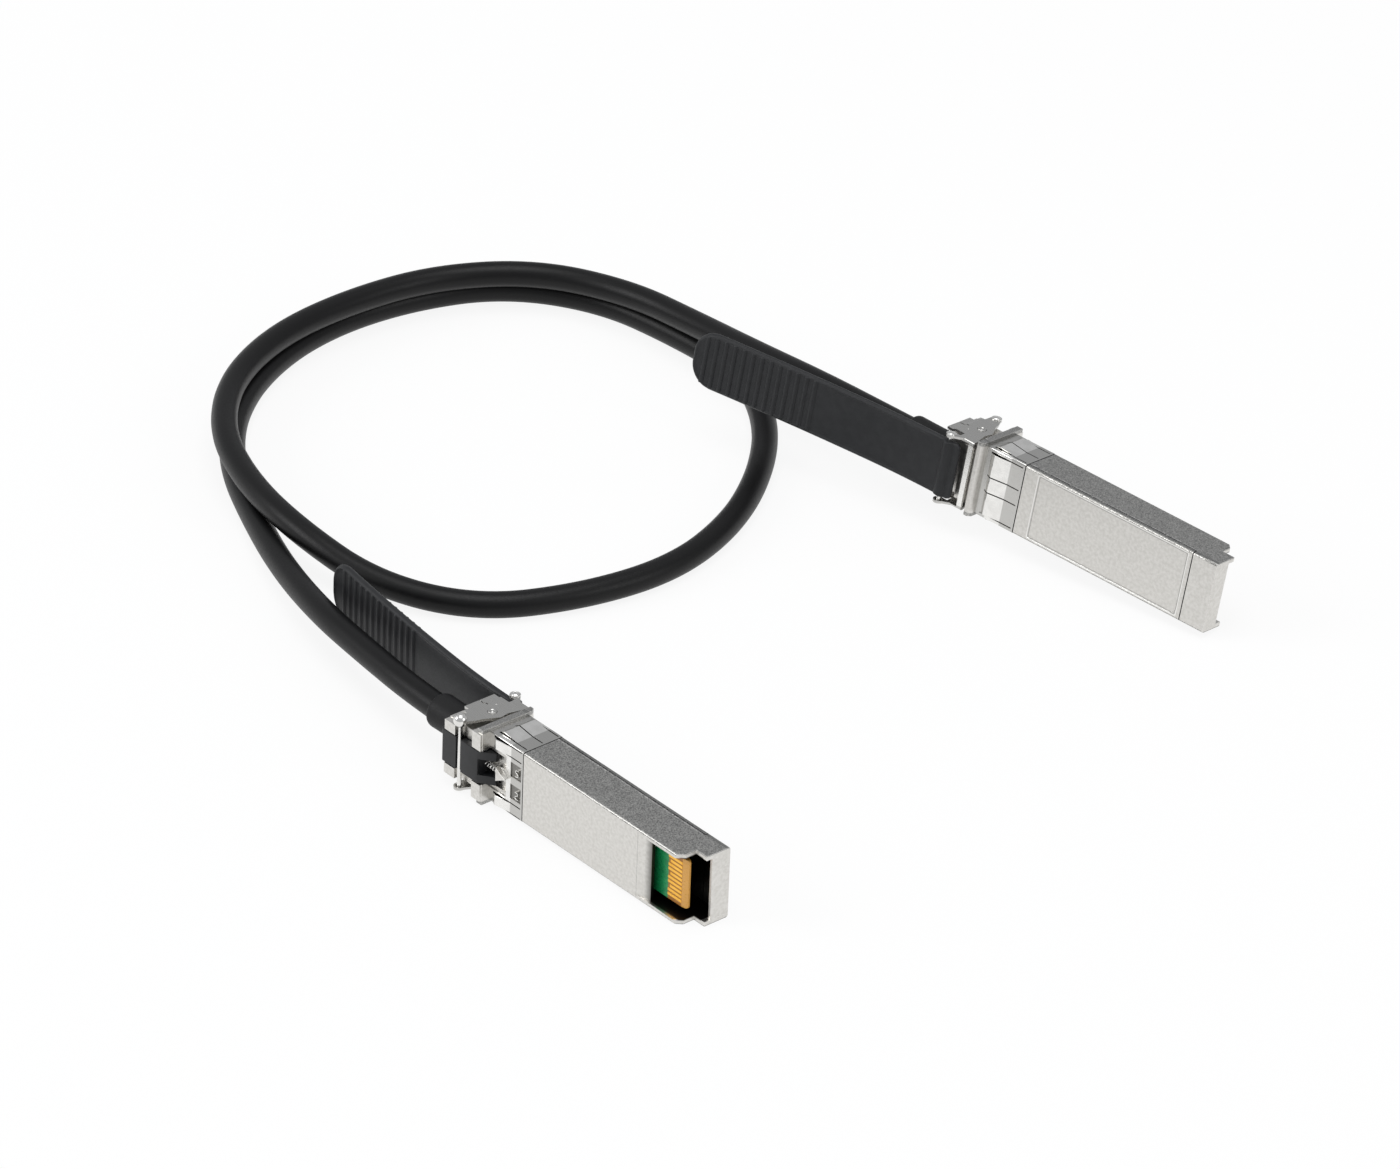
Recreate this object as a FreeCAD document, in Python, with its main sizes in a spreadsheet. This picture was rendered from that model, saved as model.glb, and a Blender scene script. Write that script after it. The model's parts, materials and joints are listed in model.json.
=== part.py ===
import FreeCAD, Part

import math
import os
from types import SimpleNamespace

import Sketcher

# Direct attach copper cable: two latching metal plugs joined by one round cable.
# Millimetres, +Z up. Each plug is built in its own frame: +X towards the nose from the front edge of the
# sprung collar, +Y across, Z = 0 on the latch face and Z = plug_height on the label face.

DIMENSIONS = {
    # Nose, which slides into the cage.
    "plug_width": 13.4,
    "plug_height": 8.5,
    "nose_length": 42.2,
    "side_wall": 0.85,
    "floor_thickness": 1.3,
    "cover_thickness": 0.9,
    "cover_front": 37.0,
    "hood_overhang": 2.6,
    "hood_bottom": 3.5,
    "nose_bevel": 1.2,
    "window_rear": 32.1,
    "window_ramp": 2.8,
    "edge_radius": 0.5,
    "cavity_rear": 3.2,
    "recess_rear": 3.2,
    "recess_front": 36.0,
    "recess_half": 6.0,
    "recess_depth": 0.15,
    "recess_corner": 1.0,
    # Sprung collar and the core that it wraps.
    "collar_length": 8.6,
    "collar_sheet": 0.2,
    "core_inset": 0.25,
    "finger_rear": 7.4,
    "finger_ridge": 6.4,
    "finger_flat": 3.0,
    "finger_front": 0.4,
    "finger_rise": 0.6,
    "side_finger_rise": 0.45,
    "ring_radius": 0.35,
    "latch_finger_width": 2.0,
    "ridge_radius": 0.5,
    "slit_width": 0.22,
    # Stop flange.
    "flange_thickness": 1.3,
    "flange_half": 7.2,
    "flange_top": 9.7,
    "flange_bottom": 1.5,
    # Rear body, in which the cable is clamped.
    "rear_end": 18.0,
    "rear_width": 10.6,
    "rear_bottom": 0.7,
    "rear_top": 7.6,
    "block_top": 9.2,
    "block_rear": 12.9,
    "clamp_height": 4.6,
    "lug_bottom": 1.9,
    "lug_half": 6.4,
    "wire_half": 3.4,
    "wire_floor": 2.3,
    "wire_top": 6.9,
    # Cable and its sleeve.
    "cable_diameter": 4.7,
    "jacket_start": 16.0,
    "ferrule_front": 13.2,
    "ferrule_radius": 2.2,
    "boot_end": 27.3,
    "boot_radius": 3.15,
    "boot_chamfer": 0.6,
    # Latch release: lever, pins, slider and spring.
    "pivot_x": 13.2,
    "pivot_z": 4.25,
    "pivot_radius": 0.8,
    "pivot_end": 6.5,
    "lever_half": 6.6,
    "lever_sheet": 0.45,
    "joggle": 0.3,
    "joggle_x": 15.9,
    "lever_front": 10.4,
    "bar_length": 1.0,
    "waist_x": 11.2,
    "waist_z": 5.9,
    "elbow_x": 10.9,
    "knee_x": 12.3,
    "knee_z": 1.4,
    "shin_x": 12.6,
    "shin_z": 0.2,
    "heel_x": 15.4,
    "heel_z": 0.6,
    "flap_front": 16.6,
    "flap_bottom": 2.0,
    "flap_top": 8.3,
    "lever_rear": 17.65,
    "ear_front": 13.8,
    "slit_end": 15.4,
    "slit_z": 5.0,
    "pin_x": 14.4,
    "pin_z": 1.5,
    "pin_radius": 0.4,
    "head_radius": 0.58,
    "eye_radius": 0.95,
    "tab_pin_x": 15.0,
    "tab_pin_z": 10.6,
    "slider_half": 3.1,
    "slider_top": 0.8,
    "slider_rear": 19.1,
    "slider_gap": 0.15,
    "channel_top": 1.0,
    "channel_front": 4.25,
    "groove_half": 0.6,
    "groove_top": 0.6,
    "fork_inner": 1.5,
    "fork_root": 9.4,
    "fork_tip": 6.8,
    "island_rear": 6.2,
    "island_half": 1.15,
    "boss_rear": 5.9,
    "boss_apex": 3.5,
    "boss_half": 1.3,
    "boss_height": 0.9,
    "spring_radius": 0.45,
    "spring_z": 0.2,
    "spring_wire": 0.2,
    "spring_turns": 4.5,
    # Pull tab: level by the lever, then bent up in two easy curves.
    "tab_width": 10.8,
    "tab_thickness": 1.1,
    "tab_eye": 1.2,
    "tab_lip": 11.9,
    "tab_level_end": 16.0,
    "tab_bend_radius": 165.0,
    "tab_bend_angle": 5.2,
    "tab_sweep_radius": 560.0,
    "tab_sweep_length": 40.3,
    "tab_corner": 3.0,
    "rib_start": 12.4,
    "rib_margin": 2.9,
    "rib_pitch": 1.2,
    "rib_length": 0.6,
    "rib_rise": 0.25,
    "rib_width": 9.4,
    # Circuit board.
    "board_rear": 5.0,
    "board_front": 39.1,
    "board_half": 4.6,
    "board_bottom": 2.25,
    "board_top": 3.25,
    "board_bevel": 1.3,
    "bevel_depth": 0.3,
    "rail_inner": 4.2,
    "rail_rear": 6.0,
    "rail_front": 30.0,
    "pad_pitch": 0.8,
    "pad_width": 0.5,
    "pad_thickness": 0.04,
    "pad_rear": 34.4,
    "chip_x": 15.5,
    "chip_length": 3.0,
    "chip_height": 0.8,
    "passive_pitch": 2.0,
    "passive_length": 1.0,
    "wire_radius": 0.5,
    "wire_spread": 1.8,
    "wire_end": 8.0,
    "fit": 0.05,
}

# How the plugs lie, with the origin on the table under the middle of the box round both: plug A's axis at the
# collar's front edge, and plug B's frame as a point and its yaw, pitch and roll.
PLUG_A_AXIS = (21.32, -64.16)
PLUG_B_CORNER = (4.0, 64.13, 9.74)
PLUG_B_TURN = (8.76, 4.14, 82.31)

X_AXIS = FreeCAD.Vector(1, 0, 0)
Y_AXIS = FreeCAD.Vector(0, 1, 0)
Z_AXIS = FreeCAD.Vector(0, 0, 1)

PADS_PER_FACE = 10

# The thin wire of the return spring is drawn with this many flat sides, which keeps its surface light.
WIRE_SIDES = 6

# Centre line of the cable between the plugs, chosen by hand: from plug B it runs out over the table, turns
# round the loop on top of the strand below, passes over it, closes the loop on the table and ends at plug A.
CABLE_ROUTE = [
    (-43.7, 53.8, 12.6), (-61.7, 54.0, 10.9), (-80.2, 55.8, 8.3), (-98.7, 55.3, 7.2),
    (-115.7, 47.2, 6.9), (-125.4, 31.3, 6.8), (-127.3, 12.8, 7.0), (-124.8, -5.5, 7.3),
    (-116.7, -22.2, 7.3), (-103.1, -34.9, 7.3), (-86.1, -42.2, 7.3), (-67.9, -45.5, 7.1),
    (-50.0, -42.5, 3.4), (-34.1, -32.8, 2.4), (-26.3, -15.7, 2.4), (-24.0, 2.8, 2.4),
    (-29.5, 20.4, 2.4), (-39.7, 35.9, 2.4), (-52.8, 48.9, 2.4), (-69.3, 57.7, 2.4),
    (-87.9, 57.6, 2.4), (-106.2, 55.2, 2.4), (-121.7, 44.5, 2.4), (-128.3, 27.0, 2.4),
    (-129.0, 8.5, 2.4), (-123.5, -9.2, 2.4), (-113.0, -24.5, 2.4), (-98.6, -36.0, 2.4),
    (-81.8, -43.9, 2.4), (-63.4, -51.9, 3.7), (-44.2, -58.5, 6.1), (-28.2, -61.2, 6.7),
]


class Size:
    """A length or angle together with the spreadsheet expression that gives it."""

    def __init__(self, value, text=None):
        self.value = float(value)
        self.text = f"({value:g})" if text is None else text

    @staticmethod
    def of(item):
        return item if isinstance(item, Size) else Size(item)

    def joined(self, other, sign, result):
        return Size(result, f"({self.text} {sign} {Size.of(other).text})")

    def __add__(self, other):
        return self.joined(other, "+", self.value + Size.of(other).value)

    def __sub__(self, other):
        return self.joined(other, "-", self.value - Size.of(other).value)

    def __mul__(self, other):
        return self.joined(other, "*", self.value * Size.of(other).value)

    def __truediv__(self, other):
        return self.joined(other, "/", self.value / Size.of(other).value)

    def __neg__(self):
        return Size(-self.value, f"(0 - {self.text})")


def sine(angle):
    """Sine of a Size in degrees."""
    return Size(math.sin(math.radians(angle.value)), f"sin({angle.text} * 1 deg)")


def cosine(angle):
    """Cosine of a Size in degrees."""
    return Size(math.cos(math.radians(angle.value)), f"cos({angle.text} * 1 deg)")


def new_sheet(doc):
    """Put the driving dimensions in a spreadsheet and return them as named sizes."""
    sheet = doc.addObject("Spreadsheet::Sheet", "Sizes")
    for row, (alias, value) in enumerate(DIMENSIONS.items(), start=1):
        sheet.set(f"A{row}", alias)
        sheet.set(f"B{row}", str(value))
        sheet.setAlias(f"B{row}", alias)
    doc.recompute()
    return SimpleNamespace(**{alias: Size(value, f"Sizes.{alias}") for alias, value in DIMENSIONS.items()})


def origin_plane(body, plane):
    """The body's own XY, XZ or YZ plane."""
    return next(item for item in body.Origin.OriginFeatures if item.Role == f"{plane}_Plane")


def attach(item, body, plane, offset=(0, 0, 0)):
    """Lay a sketch on an origin plane, moved by offset in the plane's own frame."""
    item.AttachmentSupport = [(origin_plane(body, plane), "")]
    item.MapMode = "FlatFace"
    sizes = [Size.of(value) for value in offset]
    item.AttachmentOffset.Base = FreeCAD.Vector(*[size.value for size in sizes])
    for axis, size in zip("xyz", sizes):
        item.setExpression(f"AttachmentOffset.Base.{axis}", size.text)


def pin_point(constraints, bindings, edge, end, x, y):
    """Hold one end of an edge at x, y from the sketch's origin."""
    for size, kind, axis in ((x, "DistanceX", -2), (y, "DistanceY", -1)):
        if size.value == 0.0:
            constraints.append(Sketcher.Constraint("PointOnObject", edge, end, axis))
        else:
            bindings[len(constraints)] = size.text
            constraints.append(Sketcher.Constraint(kind, -1, 1, edge, end, size.value))


def arc_between(start, end, radius):
    """Arc from start to end; a positive radius turns left, a negative one right. Returns it and its ends."""
    chord = end - start
    reach = math.sqrt(radius * radius - chord.Length * chord.Length / 4.0)
    left = FreeCAD.Vector(-chord.y, chord.x, 0).normalize()
    centre = (start + end) * 0.5 + left * math.copysign(reach, radius)
    angles = [math.atan2(point.y - centre.y, point.x - centre.x) for point in (start, end)]
    if radius < 0:
        angles.reverse()
    if angles[1] < angles[0]:
        angles[1] += 2.0 * math.pi
    circle = Part.Circle(centre, FreeCAD.Vector(0, 0, 1), abs(radius))
    return Part.ArcOfCircle(circle, *angles), ((1, 2) if radius > 0 else (2, 1))


def draw_outline(sketch, corners, radii=None):
    """Closed outline through the corners; radii gives the signed radius of an edge by its number."""
    radii = radii or {}
    corners = [(Size.of(x), Size.of(y)) for x, y in corners]
    points = [FreeCAD.Vector(x.value, y.value, 0) for x, y in corners]
    first = sketch.GeometryCount
    ends = []
    for number, start in enumerate(points):
        finish = points[(number + 1) % len(points)]
        if number in radii:
            edge, order = arc_between(start, finish, radii[number].value)
        else:
            edge, order = Part.LineSegment(start, finish), (1, 2)
        sketch.addGeometry(edge, False)
        ends.append(order)
    base = sketch.ConstraintCount
    constraints = []
    bindings = {}
    for number, (x, y) in enumerate(corners):
        before = (number - 1) % len(corners)
        constraints.append(Sketcher.Constraint(
            "Coincident", first + before, ends[before][1], first + number, ends[number][0]))
        pin_point(constraints, bindings, first + number, ends[number][0], x, y)
    for number, radius in radii.items():
        size = radius if radius.value > 0 else -radius
        bindings[len(constraints)] = size.text
        constraints.append(Sketcher.Constraint("Radius", first + number, size.value))
    sketch.addConstraint(constraints)
    for number, text in bindings.items():
        sketch.setExpression(f"Constraints[{base + number}]", text)


def outline(body, plane, corners, lift=0, radii=None):
    """Sketch of one closed outline on an origin plane."""
    sketch = body.newObject("Sketcher::SketchObject", "outline")
    attach(sketch, body, plane, (0, 0, lift))
    draw_outline(sketch, corners, radii)
    return sketch


def rectangles(body, plane, spans, lift=0):
    """Sketch of one or more rectangles, each given by its two spans."""
    sketch = body.newObject("Sketcher::SketchObject", "rectangles")
    attach(sketch, body, plane, (0, 0, lift))
    for (left, right), (low, high) in spans:
        draw_outline(sketch, [(left, low), (right, low), (right, high), (left, high)])
    return sketch


def circles(body, plane, centres, radius, lift=0):
    """Sketch of equal circles."""
    sketch = body.newObject("Sketcher::SketchObject", "circles")
    attach(sketch, body, plane, (0, 0, lift))
    bindings = {}
    constraints = []
    for number, (x, y) in enumerate(centres):
        x, y = Size.of(x), Size.of(y)
        circle = Part.Circle(FreeCAD.Vector(x.value, y.value, 0), Z_AXIS, radius.value)
        sketch.addGeometry(circle, False)
        pin_point(constraints, bindings, number, 3, x, y)
        bindings[len(constraints)] = radius.text
        constraints.append(Sketcher.Constraint("Radius", number, radius.value))
    sketch.addConstraint(constraints)
    for number, text in bindings.items():
        sketch.setExpression(f"Constraints[{number}]", text)
    return sketch


def pad(body, sketch, length, both_ways=False):
    """Add the sketch's outlines, along their plane's normal or half to each side of it."""
    feature = body.newObject("PartDesign::Pad", "pad")
    return extruded(body, feature, sketch, length, both_ways)


def pocket(body, sketch, length, both_ways=False):
    """Cut the sketch's outlines, against their plane's normal or half to each side of it."""
    feature = body.newObject("PartDesign::Pocket", "pocket")
    return extruded(body, feature, sketch, length, both_ways)


def extruded(body, feature, sketch, length, both_ways):
    """Set up a pad or pocket and make sure that it changes the body."""
    before = feature.BaseFeature.Shape.Volume if feature.BaseFeature else 0.0
    feature.Profile = sketch
    feature.setExpression("Length", Size.of(length).text)
    feature.Midplane = both_ways
    body.Document.recompute()
    if abs(body.Shape.Volume - before) < 1e-4:
        raise RuntimeError(f"{body.Label}: {feature.Name} changes nothing")
    return feature


def add_blocks(body, spans, low, high):
    """Upright blocks from low to high; each span gives x and y."""
    low, high = Size.of(low), Size.of(high)
    return pad(body, rectangles(body, "XY", spans, low), high - low)


def cut_blocks(body, spans, low, high):
    """Upright cuts from low to high; each span gives x and y."""
    low, high = Size.of(low), Size.of(high)
    return pocket(body, rectangles(body, "XY", spans, high), high - low)


def both_sides(x, inner, outer):
    """The same span on both sides of the middle plane."""
    inner, outer = Size.of(inner), Size.of(outer)
    return [(x, (inner, outer)), (x, (-outer, -inner))]


def middle(x, half):
    """One span across the middle plane."""
    half = Size.of(half)
    return [(x, (-half, half))]


def round_edges(body, radius, chosen):
    """Fillet the edges of the finished shape that the test picks."""
    base = body.Tip
    names = [f"Edge{number}" for number, edge in enumerate(base.Shape.Edges, start=1) if chosen(edge)]
    if not names:
        raise RuntimeError(f"{body.Label}: no edge to round")
    feature = body.newObject("PartDesign::Fillet", "fillet")
    feature.Base = (base, names)
    feature.setExpression("Radius", radius.text)
    body.Document.recompute()
    if "Invalid" in feature.State or "Error" in feature.State:
        raise RuntimeError(f"{body.Label}: {feature.Name} fails")
    return feature


def runs_along(edge, axis):
    """Whether a straight edge is parallel to the axis."""
    if edge.Curve.TypeId != "Part::GeomLine":
        return False
    return abs(abs(edge.Curve.Direction.dot(axis)) - 1.0) < 1e-6


def close(one, other):
    """Whether two lengths agree to well under the smallest detail."""
    return abs(one - Size.of(other).value) < 1e-3


def shell_base(doc, label, s):
    """Die-cast lower half: nose walls and hood, board rails, latch boss, slider channel and clamp."""
    body = doc.addObject("PartDesign::Body", label)
    half = s.plug_width / 2
    split = s.plug_height - s.cover_thickness
    tip = s.nose_length
    floor_front = tip - s.hood_overhang
    flange_rear = -(s.collar_length + s.flange_thickness)
    cavity_half = half - s.side_wall

    # Nose from the side: floor with a bevelled front, stepped hood and seat for the cover.
    nose = [
        (0, 0), (floor_front - s.nose_bevel, 0), (floor_front, s.floor_thickness),
        (floor_front, s.hood_bottom), (tip, s.hood_bottom), (tip, s.plug_height),
        (s.cover_front, s.plug_height), (s.cover_front, split), (0, split),
    ]
    pad(body, outline(body, "XZ", nose), s.plug_width, True)

    def long_edge(edge):
        middle = edge.CenterOfMass
        outside = close(abs(middle.y), half) and (close(middle.z, 0) or close(middle.z, s.plug_height))
        return runs_along(edge, X_AXIS) and outside

    round_edges(body, s.edge_radius, long_edge)
    add_blocks(body, middle((-s.collar_length, 0), half - s.core_inset), s.core_inset, split)
    add_blocks(body, middle((flange_rear, -s.collar_length), s.flange_half), -s.flange_bottom, split)
    add_blocks(body, middle((-s.rear_end, flange_rear), s.rear_width / 2), -s.rear_bottom, s.clamp_height)

    # Lugs on the latch side, with the path of the cross pin between them.
    channel_half = s.slider_half + s.slider_gap
    lugs = both_sides((-s.rear_end, -s.pin_x - 0.9), channel_half, s.rear_width / 2 - 0.15)
    lugs += both_sides((flange_rear - 1.0, -s.collar_length - 0.1), channel_half, s.lug_half)
    add_blocks(body, lugs, -s.lug_bottom, -s.rear_bottom)

    # Inside: board space with its rails, open mouth and latch-side window, then the wire space.
    cut_blocks(body, middle((-s.cavity_rear, tip + 1), cavity_half), s.floor_thickness, split)
    cut_blocks(body, middle((s.window_rear, tip + 1), cavity_half), -1, s.floor_thickness)
    ramp = [(s.window_rear - s.window_ramp, 0), (s.window_rear, 0.6), (s.window_rear, -1),
            (s.window_rear - s.window_ramp, -1)]
    pocket(body, outline(body, "XZ", ramp), cavity_half * 2, True)
    add_blocks(body, both_sides((s.rail_rear, s.rail_front), s.rail_inner, cavity_half),
               s.floor_thickness, s.board_bottom)
    cut_blocks(body, middle((-s.ferrule_front, -s.cavity_rear), s.wire_half), s.wire_floor, split)
    cable_bores(body, s)

    # Channel for the slider, and the latch boss on its island between the forks.
    cut_blocks(body, middle((-s.rear_end, -s.channel_front), channel_half), -s.lug_bottom, s.channel_top)
    add_blocks(body, middle((-s.island_rear, -s.channel_front), s.island_half), 0, s.channel_top)
    boss = [(-s.boss_rear, -s.boss_half), (-s.boss_apex, 0), (-s.boss_rear, s.boss_half)]
    pad(body, outline(body, "XY", boss, -s.boss_height), s.boss_height)

    # Pivot studs for the lever, one on each side.
    stud = s.pivot_end - s.rear_width / 2
    for lift in (-s.pivot_end, s.rear_width / 2):
        pad(body, circles(body, "XZ", [(-s.pivot_x, s.pivot_z)], s.pivot_radius, lift), stud)
    return body


def cable_bores(body, s):
    """Bores for the cable and, in front of it, for its ferrule."""
    for front, length, radius in (
        (-s.jacket_start, s.rear_end - s.jacket_start, s.cable_diameter / 2),
        (-s.ferrule_front, s.jacket_start - s.ferrule_front, s.ferrule_radius),
    ):
        pocket(body, circles(body, "YZ", [(0, s.clamp_height)], radius + s.fit, front), length)


def shell_cover(doc, label, s):
    """Die-cast upper half: plain label face with its bare recess, flange rim and upper clamp."""
    body = doc.addObject("PartDesign::Body", label)
    half = s.plug_width / 2
    split = s.plug_height - s.cover_thickness
    flange_front = -s.collar_length
    flange_rear = flange_front - s.flange_thickness
    add_blocks(body, middle((0, s.cover_front), half), split, s.plug_height)

    def long_edge(edge):
        middle = edge.CenterOfMass
        return runs_along(edge, X_AXIS) and close(abs(middle.y), half) and close(middle.z, s.plug_height)

    round_edges(body, s.edge_radius, long_edge)
    add_blocks(body, middle((flange_front, 0), half - s.core_inset), split, s.plug_height - s.core_inset)

    # Rim of the flange, with a sloped front edge.
    rim = [(flange_rear, split), (flange_front, split), (flange_front, s.plug_height + 0.5),
           (flange_front - 0.5, s.flange_top), (flange_rear, s.flange_top)]
    pad(body, outline(body, "XZ", rim), s.flange_half * 2, True)

    # Upper clamp from the side: high behind the flange, low under the swing of the lever.
    rear = [(-s.rear_end, s.clamp_height), (flange_rear, s.clamp_height), (flange_rear, s.block_top),
            (-s.block_rear, s.block_top), (-s.block_rear, s.rear_top), (-s.rear_end, s.rear_top)]
    pad(body, outline(body, "XZ", rear), s.rear_width, True)
    cut_blocks(body, middle((-s.ferrule_front, flange_rear), s.wire_half), s.clamp_height, s.wire_top)
    cable_bores(body, s)

    # Bare recess for a label, with one cut corner.
    recess = [(s.recess_rear, -s.recess_half), (s.recess_front - s.recess_corner, -s.recess_half),
              (s.recess_front, -s.recess_half + s.recess_corner), (s.recess_front, s.recess_half),
              (s.recess_rear, s.recess_half)]
    pocket(body, outline(body, "XY", recess, s.plug_height), s.recess_depth)
    return body


def bowed(surface, rise, s):
    """Outline of a bowed finger of sheet that stands proud of a surface; x, then height over the core."""
    inner = surface - s.collar_sheet
    return [
        (-s.finger_flat, surface), (-s.finger_flat, inner),
        (-s.finger_ridge, inner + rise), (-s.finger_rear, inner),
        (-s.finger_rear, surface), (-s.finger_ridge, surface + rise),
    ]


def rounded_rectangle(half, low, high, radius):
    """Corners of a rectangle with rounded corners, and the radii of its corner edges."""
    corners = [
        (radius - half, low), (half - radius, low), (half, low + radius), (half, high - radius),
        (half - radius, high), (radius - half, high), (-half, high - radius), (-half, low + radius),
    ]
    return corners, {number: radius for number in (1, 3, 5, 7)}


def emi_collar(doc, label, s):
    """Sprung sheet collar: a flush ring with bowed contact fingers on all four faces."""
    body = doc.addObject("PartDesign::Body", label)
    half = s.plug_width / 2
    sheet = s.collar_sheet
    back = -s.collar_length
    corners, radii = rounded_rectangle(half, Size.of(0), s.plug_height, s.ring_radius)
    pad(body, outline(body, "YZ", corners, back, radii), s.collar_length)
    cut_blocks(body, middle((back, 0), half - sheet), sheet, s.plug_height - sheet)
    fingers = (-s.finger_rear, -s.finger_flat)
    slits = (-s.finger_rear, -s.finger_front)

    def slit(place):
        return (slits, (place - s.slit_width / 2, place + s.slit_width / 2))

    # Label face: three fingers side by side.
    band = half - 0.8
    top = s.plug_height
    cut_blocks(body, middle(fingers, band), top - sheet, top)
    pad(body, outline(body, "XZ", bowed(top, s.finger_rise, s)), band * 2, True)
    cut_blocks(body, [slit(y) for y in (-band, -band / 4, band / 4, band)], top - sheet, top + s.finger_rise)

    # Narrow sides: two fingers each.
    low, high = Size.of(1.1), top - 0.7
    width = s.plug_width + s.side_finger_rise * 2
    pocket(body, rectangles(body, "XZ", [(fingers, (low, high))]), width, True)
    for side in (1, -1):
        shape = [(x, y * side) for x, y in bowed(half, s.side_finger_rise, s)]
        pad(body, outline(body, "XY", shape, low), high - low)
    pocket(body, rectangles(body, "XZ", [slit(z) for z in (low, (low + high) / 2, high)]), width, True)

    # Latch face: open over the slider, a finger near each edge and a pair of sprung windows in front.
    outer = half - 0.3
    inner = outer - s.latch_finger_width
    openings = middle((back, -s.channel_front + 0.05), s.slider_half + 0.9)
    openings += both_sides(fingers, inner, outer)
    openings += both_sides((-s.finger_flat - 0.1, -s.finger_front), 0.7, 3.5)
    cut_blocks(body, openings, 0, sheet)
    for side in (1, -1):
        shape = [(x, -z) for x, z in bowed(Size.of(0), s.finger_rise, s)]
        across = (inner + outer) / 2 * side
        pad(body, outline(body, "XZ", shape, -across), outer - inner, True)
    cut_blocks(body, [slit(y) for y in (inner, outer, -inner, -outer)], -s.finger_rise, sheet)

    def ridge(edge):
        across = close(edge.CenterOfMass.x, -s.finger_ridge) and not runs_along(edge, X_AXIS)
        return across and edge.Length > 0.5

    round_edges(body, s.ridge_radius, ridge)
    return body


def latch_lever(doc, label, s):
    """Stamped yoke: two side plates with pivot holes and eyes, joined by a bar over the label side."""
    body = doc.addObject("PartDesign::Body", label)
    bar_top = s.flange_top + 0.4
    bar_bottom = bar_top - s.lever_sheet
    side = [
        (-s.lever_front, bar_top), (-s.lever_front, bar_bottom - 0.3), (-s.waist_x, s.waist_z),
        (-s.elbow_x, s.pivot_z), (-s.knee_x, s.knee_z), (-s.shin_x, s.shin_z),
        (-s.pin_x + s.eye_radius, -s.pin_z), (-s.pin_x - s.eye_radius, -s.pin_z),
        (-s.heel_x, s.heel_z), (-s.flap_front, s.heel_z + 0.2), (-s.flap_front, s.flap_bottom),
        (-s.lever_rear, s.flap_bottom), (-s.lever_rear, s.flap_top), (-s.ear_front, s.flap_top),
        (-s.ear_front, bar_bottom), (-s.tab_pin_x, bar_bottom),
        (-s.tab_pin_x, s.tab_pin_z + s.eye_radius), (-s.ear_front + 0.8, bar_top),
    ]
    pad(body, outline(body, "XZ", side), s.lever_half * 2, True)

    def bend(edge):
        middle = edge.CenterOfMass
        return runs_along(edge, X_AXIS) and close(abs(middle.y), s.lever_half) and close(middle.z, bar_top)

    round_edges(body, s.lever_sheet, bend)
    pins = [(-s.pin_x, -s.pin_z), (-s.tab_pin_x, s.tab_pin_z)]
    pad(body, circles(body, "XZ", pins, s.eye_radius), s.lever_half * 2, True)

    # The rear of each plate is set inwards, and the space between the plates follows it.
    inside = s.lever_half - s.lever_sheet
    far = -s.lever_rear - 1
    near = -s.lever_front + 1
    step_rear = -s.joggle_x - 0.5
    flanks = body.newObject("Sketcher::SketchObject", "flanks")
    height = s.tab_pin_z + s.eye_radius * 2
    attach(flanks, body, "XY", (0, 0, height))
    for sign in (1, -1):
        draw_outline(flanks, [
            (-s.joggle_x, s.lever_half * sign), (step_rear, (s.lever_half - s.joggle) * sign),
            (far, (s.lever_half - s.joggle) * sign), (far, (s.lever_half + 1) * sign),
            (-s.joggle_x, (s.lever_half + 1) * sign)])
    pocket(body, flanks, height + s.pin_z + s.eye_radius * 2)
    space = [(near, -inside), (near, inside), (-s.joggle_x, inside), (step_rear, inside - s.joggle),
             (far, inside - s.joggle), (far, s.joggle - inside), (step_rear, s.joggle - inside),
             (-s.joggle_x, -inside)]
    pocket(body, outline(body, "XY", space, bar_bottom), bar_bottom + s.pin_z + s.eye_radius * 2)
    cut_blocks(body, middle((far, -s.lever_front - s.bar_length), inside), bar_bottom, height)

    # Pivot holes, holes for the heads of both pins, and the slit in the rear edge.
    width = s.lever_half * 2
    pocket(body, circles(body, "XZ", [(-s.pivot_x, s.pivot_z)], s.pivot_radius + s.fit), width, True)
    pocket(body, circles(body, "XZ", pins, s.head_radius + s.fit), width, True)
    slit = ((far, -s.slit_end), (s.slit_z, s.slit_z + s.slit_width))
    pocket(body, rectangles(body, "XZ", [slit]), width, True)
    return body


def headed_pin(doc, label, s, x, z):
    """Pin across the plug with a ball head at each end, seated in the lever."""
    reach = s.lever_half - s.lever_sheet / 2
    shank = doc.addObject("Part::Cylinder", "shank")
    shank.setExpression("Radius", s.pin_radius.text)
    shank.setExpression("Height", (reach * 2).text)
    shank.Placement = FreeCAD.Placement(
        FreeCAD.Vector(x.value, reach.value, z.value), FreeCAD.Rotation(X_AXIS, 90))
    pieces = [shank]
    for side in (1, -1):
        head = doc.addObject("Part::Sphere", "head")
        head.setExpression("Radius", s.head_radius.text)
        head.Placement.Base = FreeCAD.Vector(x.value, side * reach.value, z.value)
        pieces.append(head)
    pin = doc.addObject("Part::MultiFuse", label)
    pin.Shapes = pieces
    return pin


def cross_pin(doc, label, s):
    """Pin that the lever pushes the slider with."""
    return headed_pin(doc, label, s, -s.pin_x, -s.pin_z)


def tab_pin(doc, label, s):
    """Pin that the pull tab hangs on."""
    return headed_pin(doc, label, s, -s.tab_pin_x, s.tab_pin_z)


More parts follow.
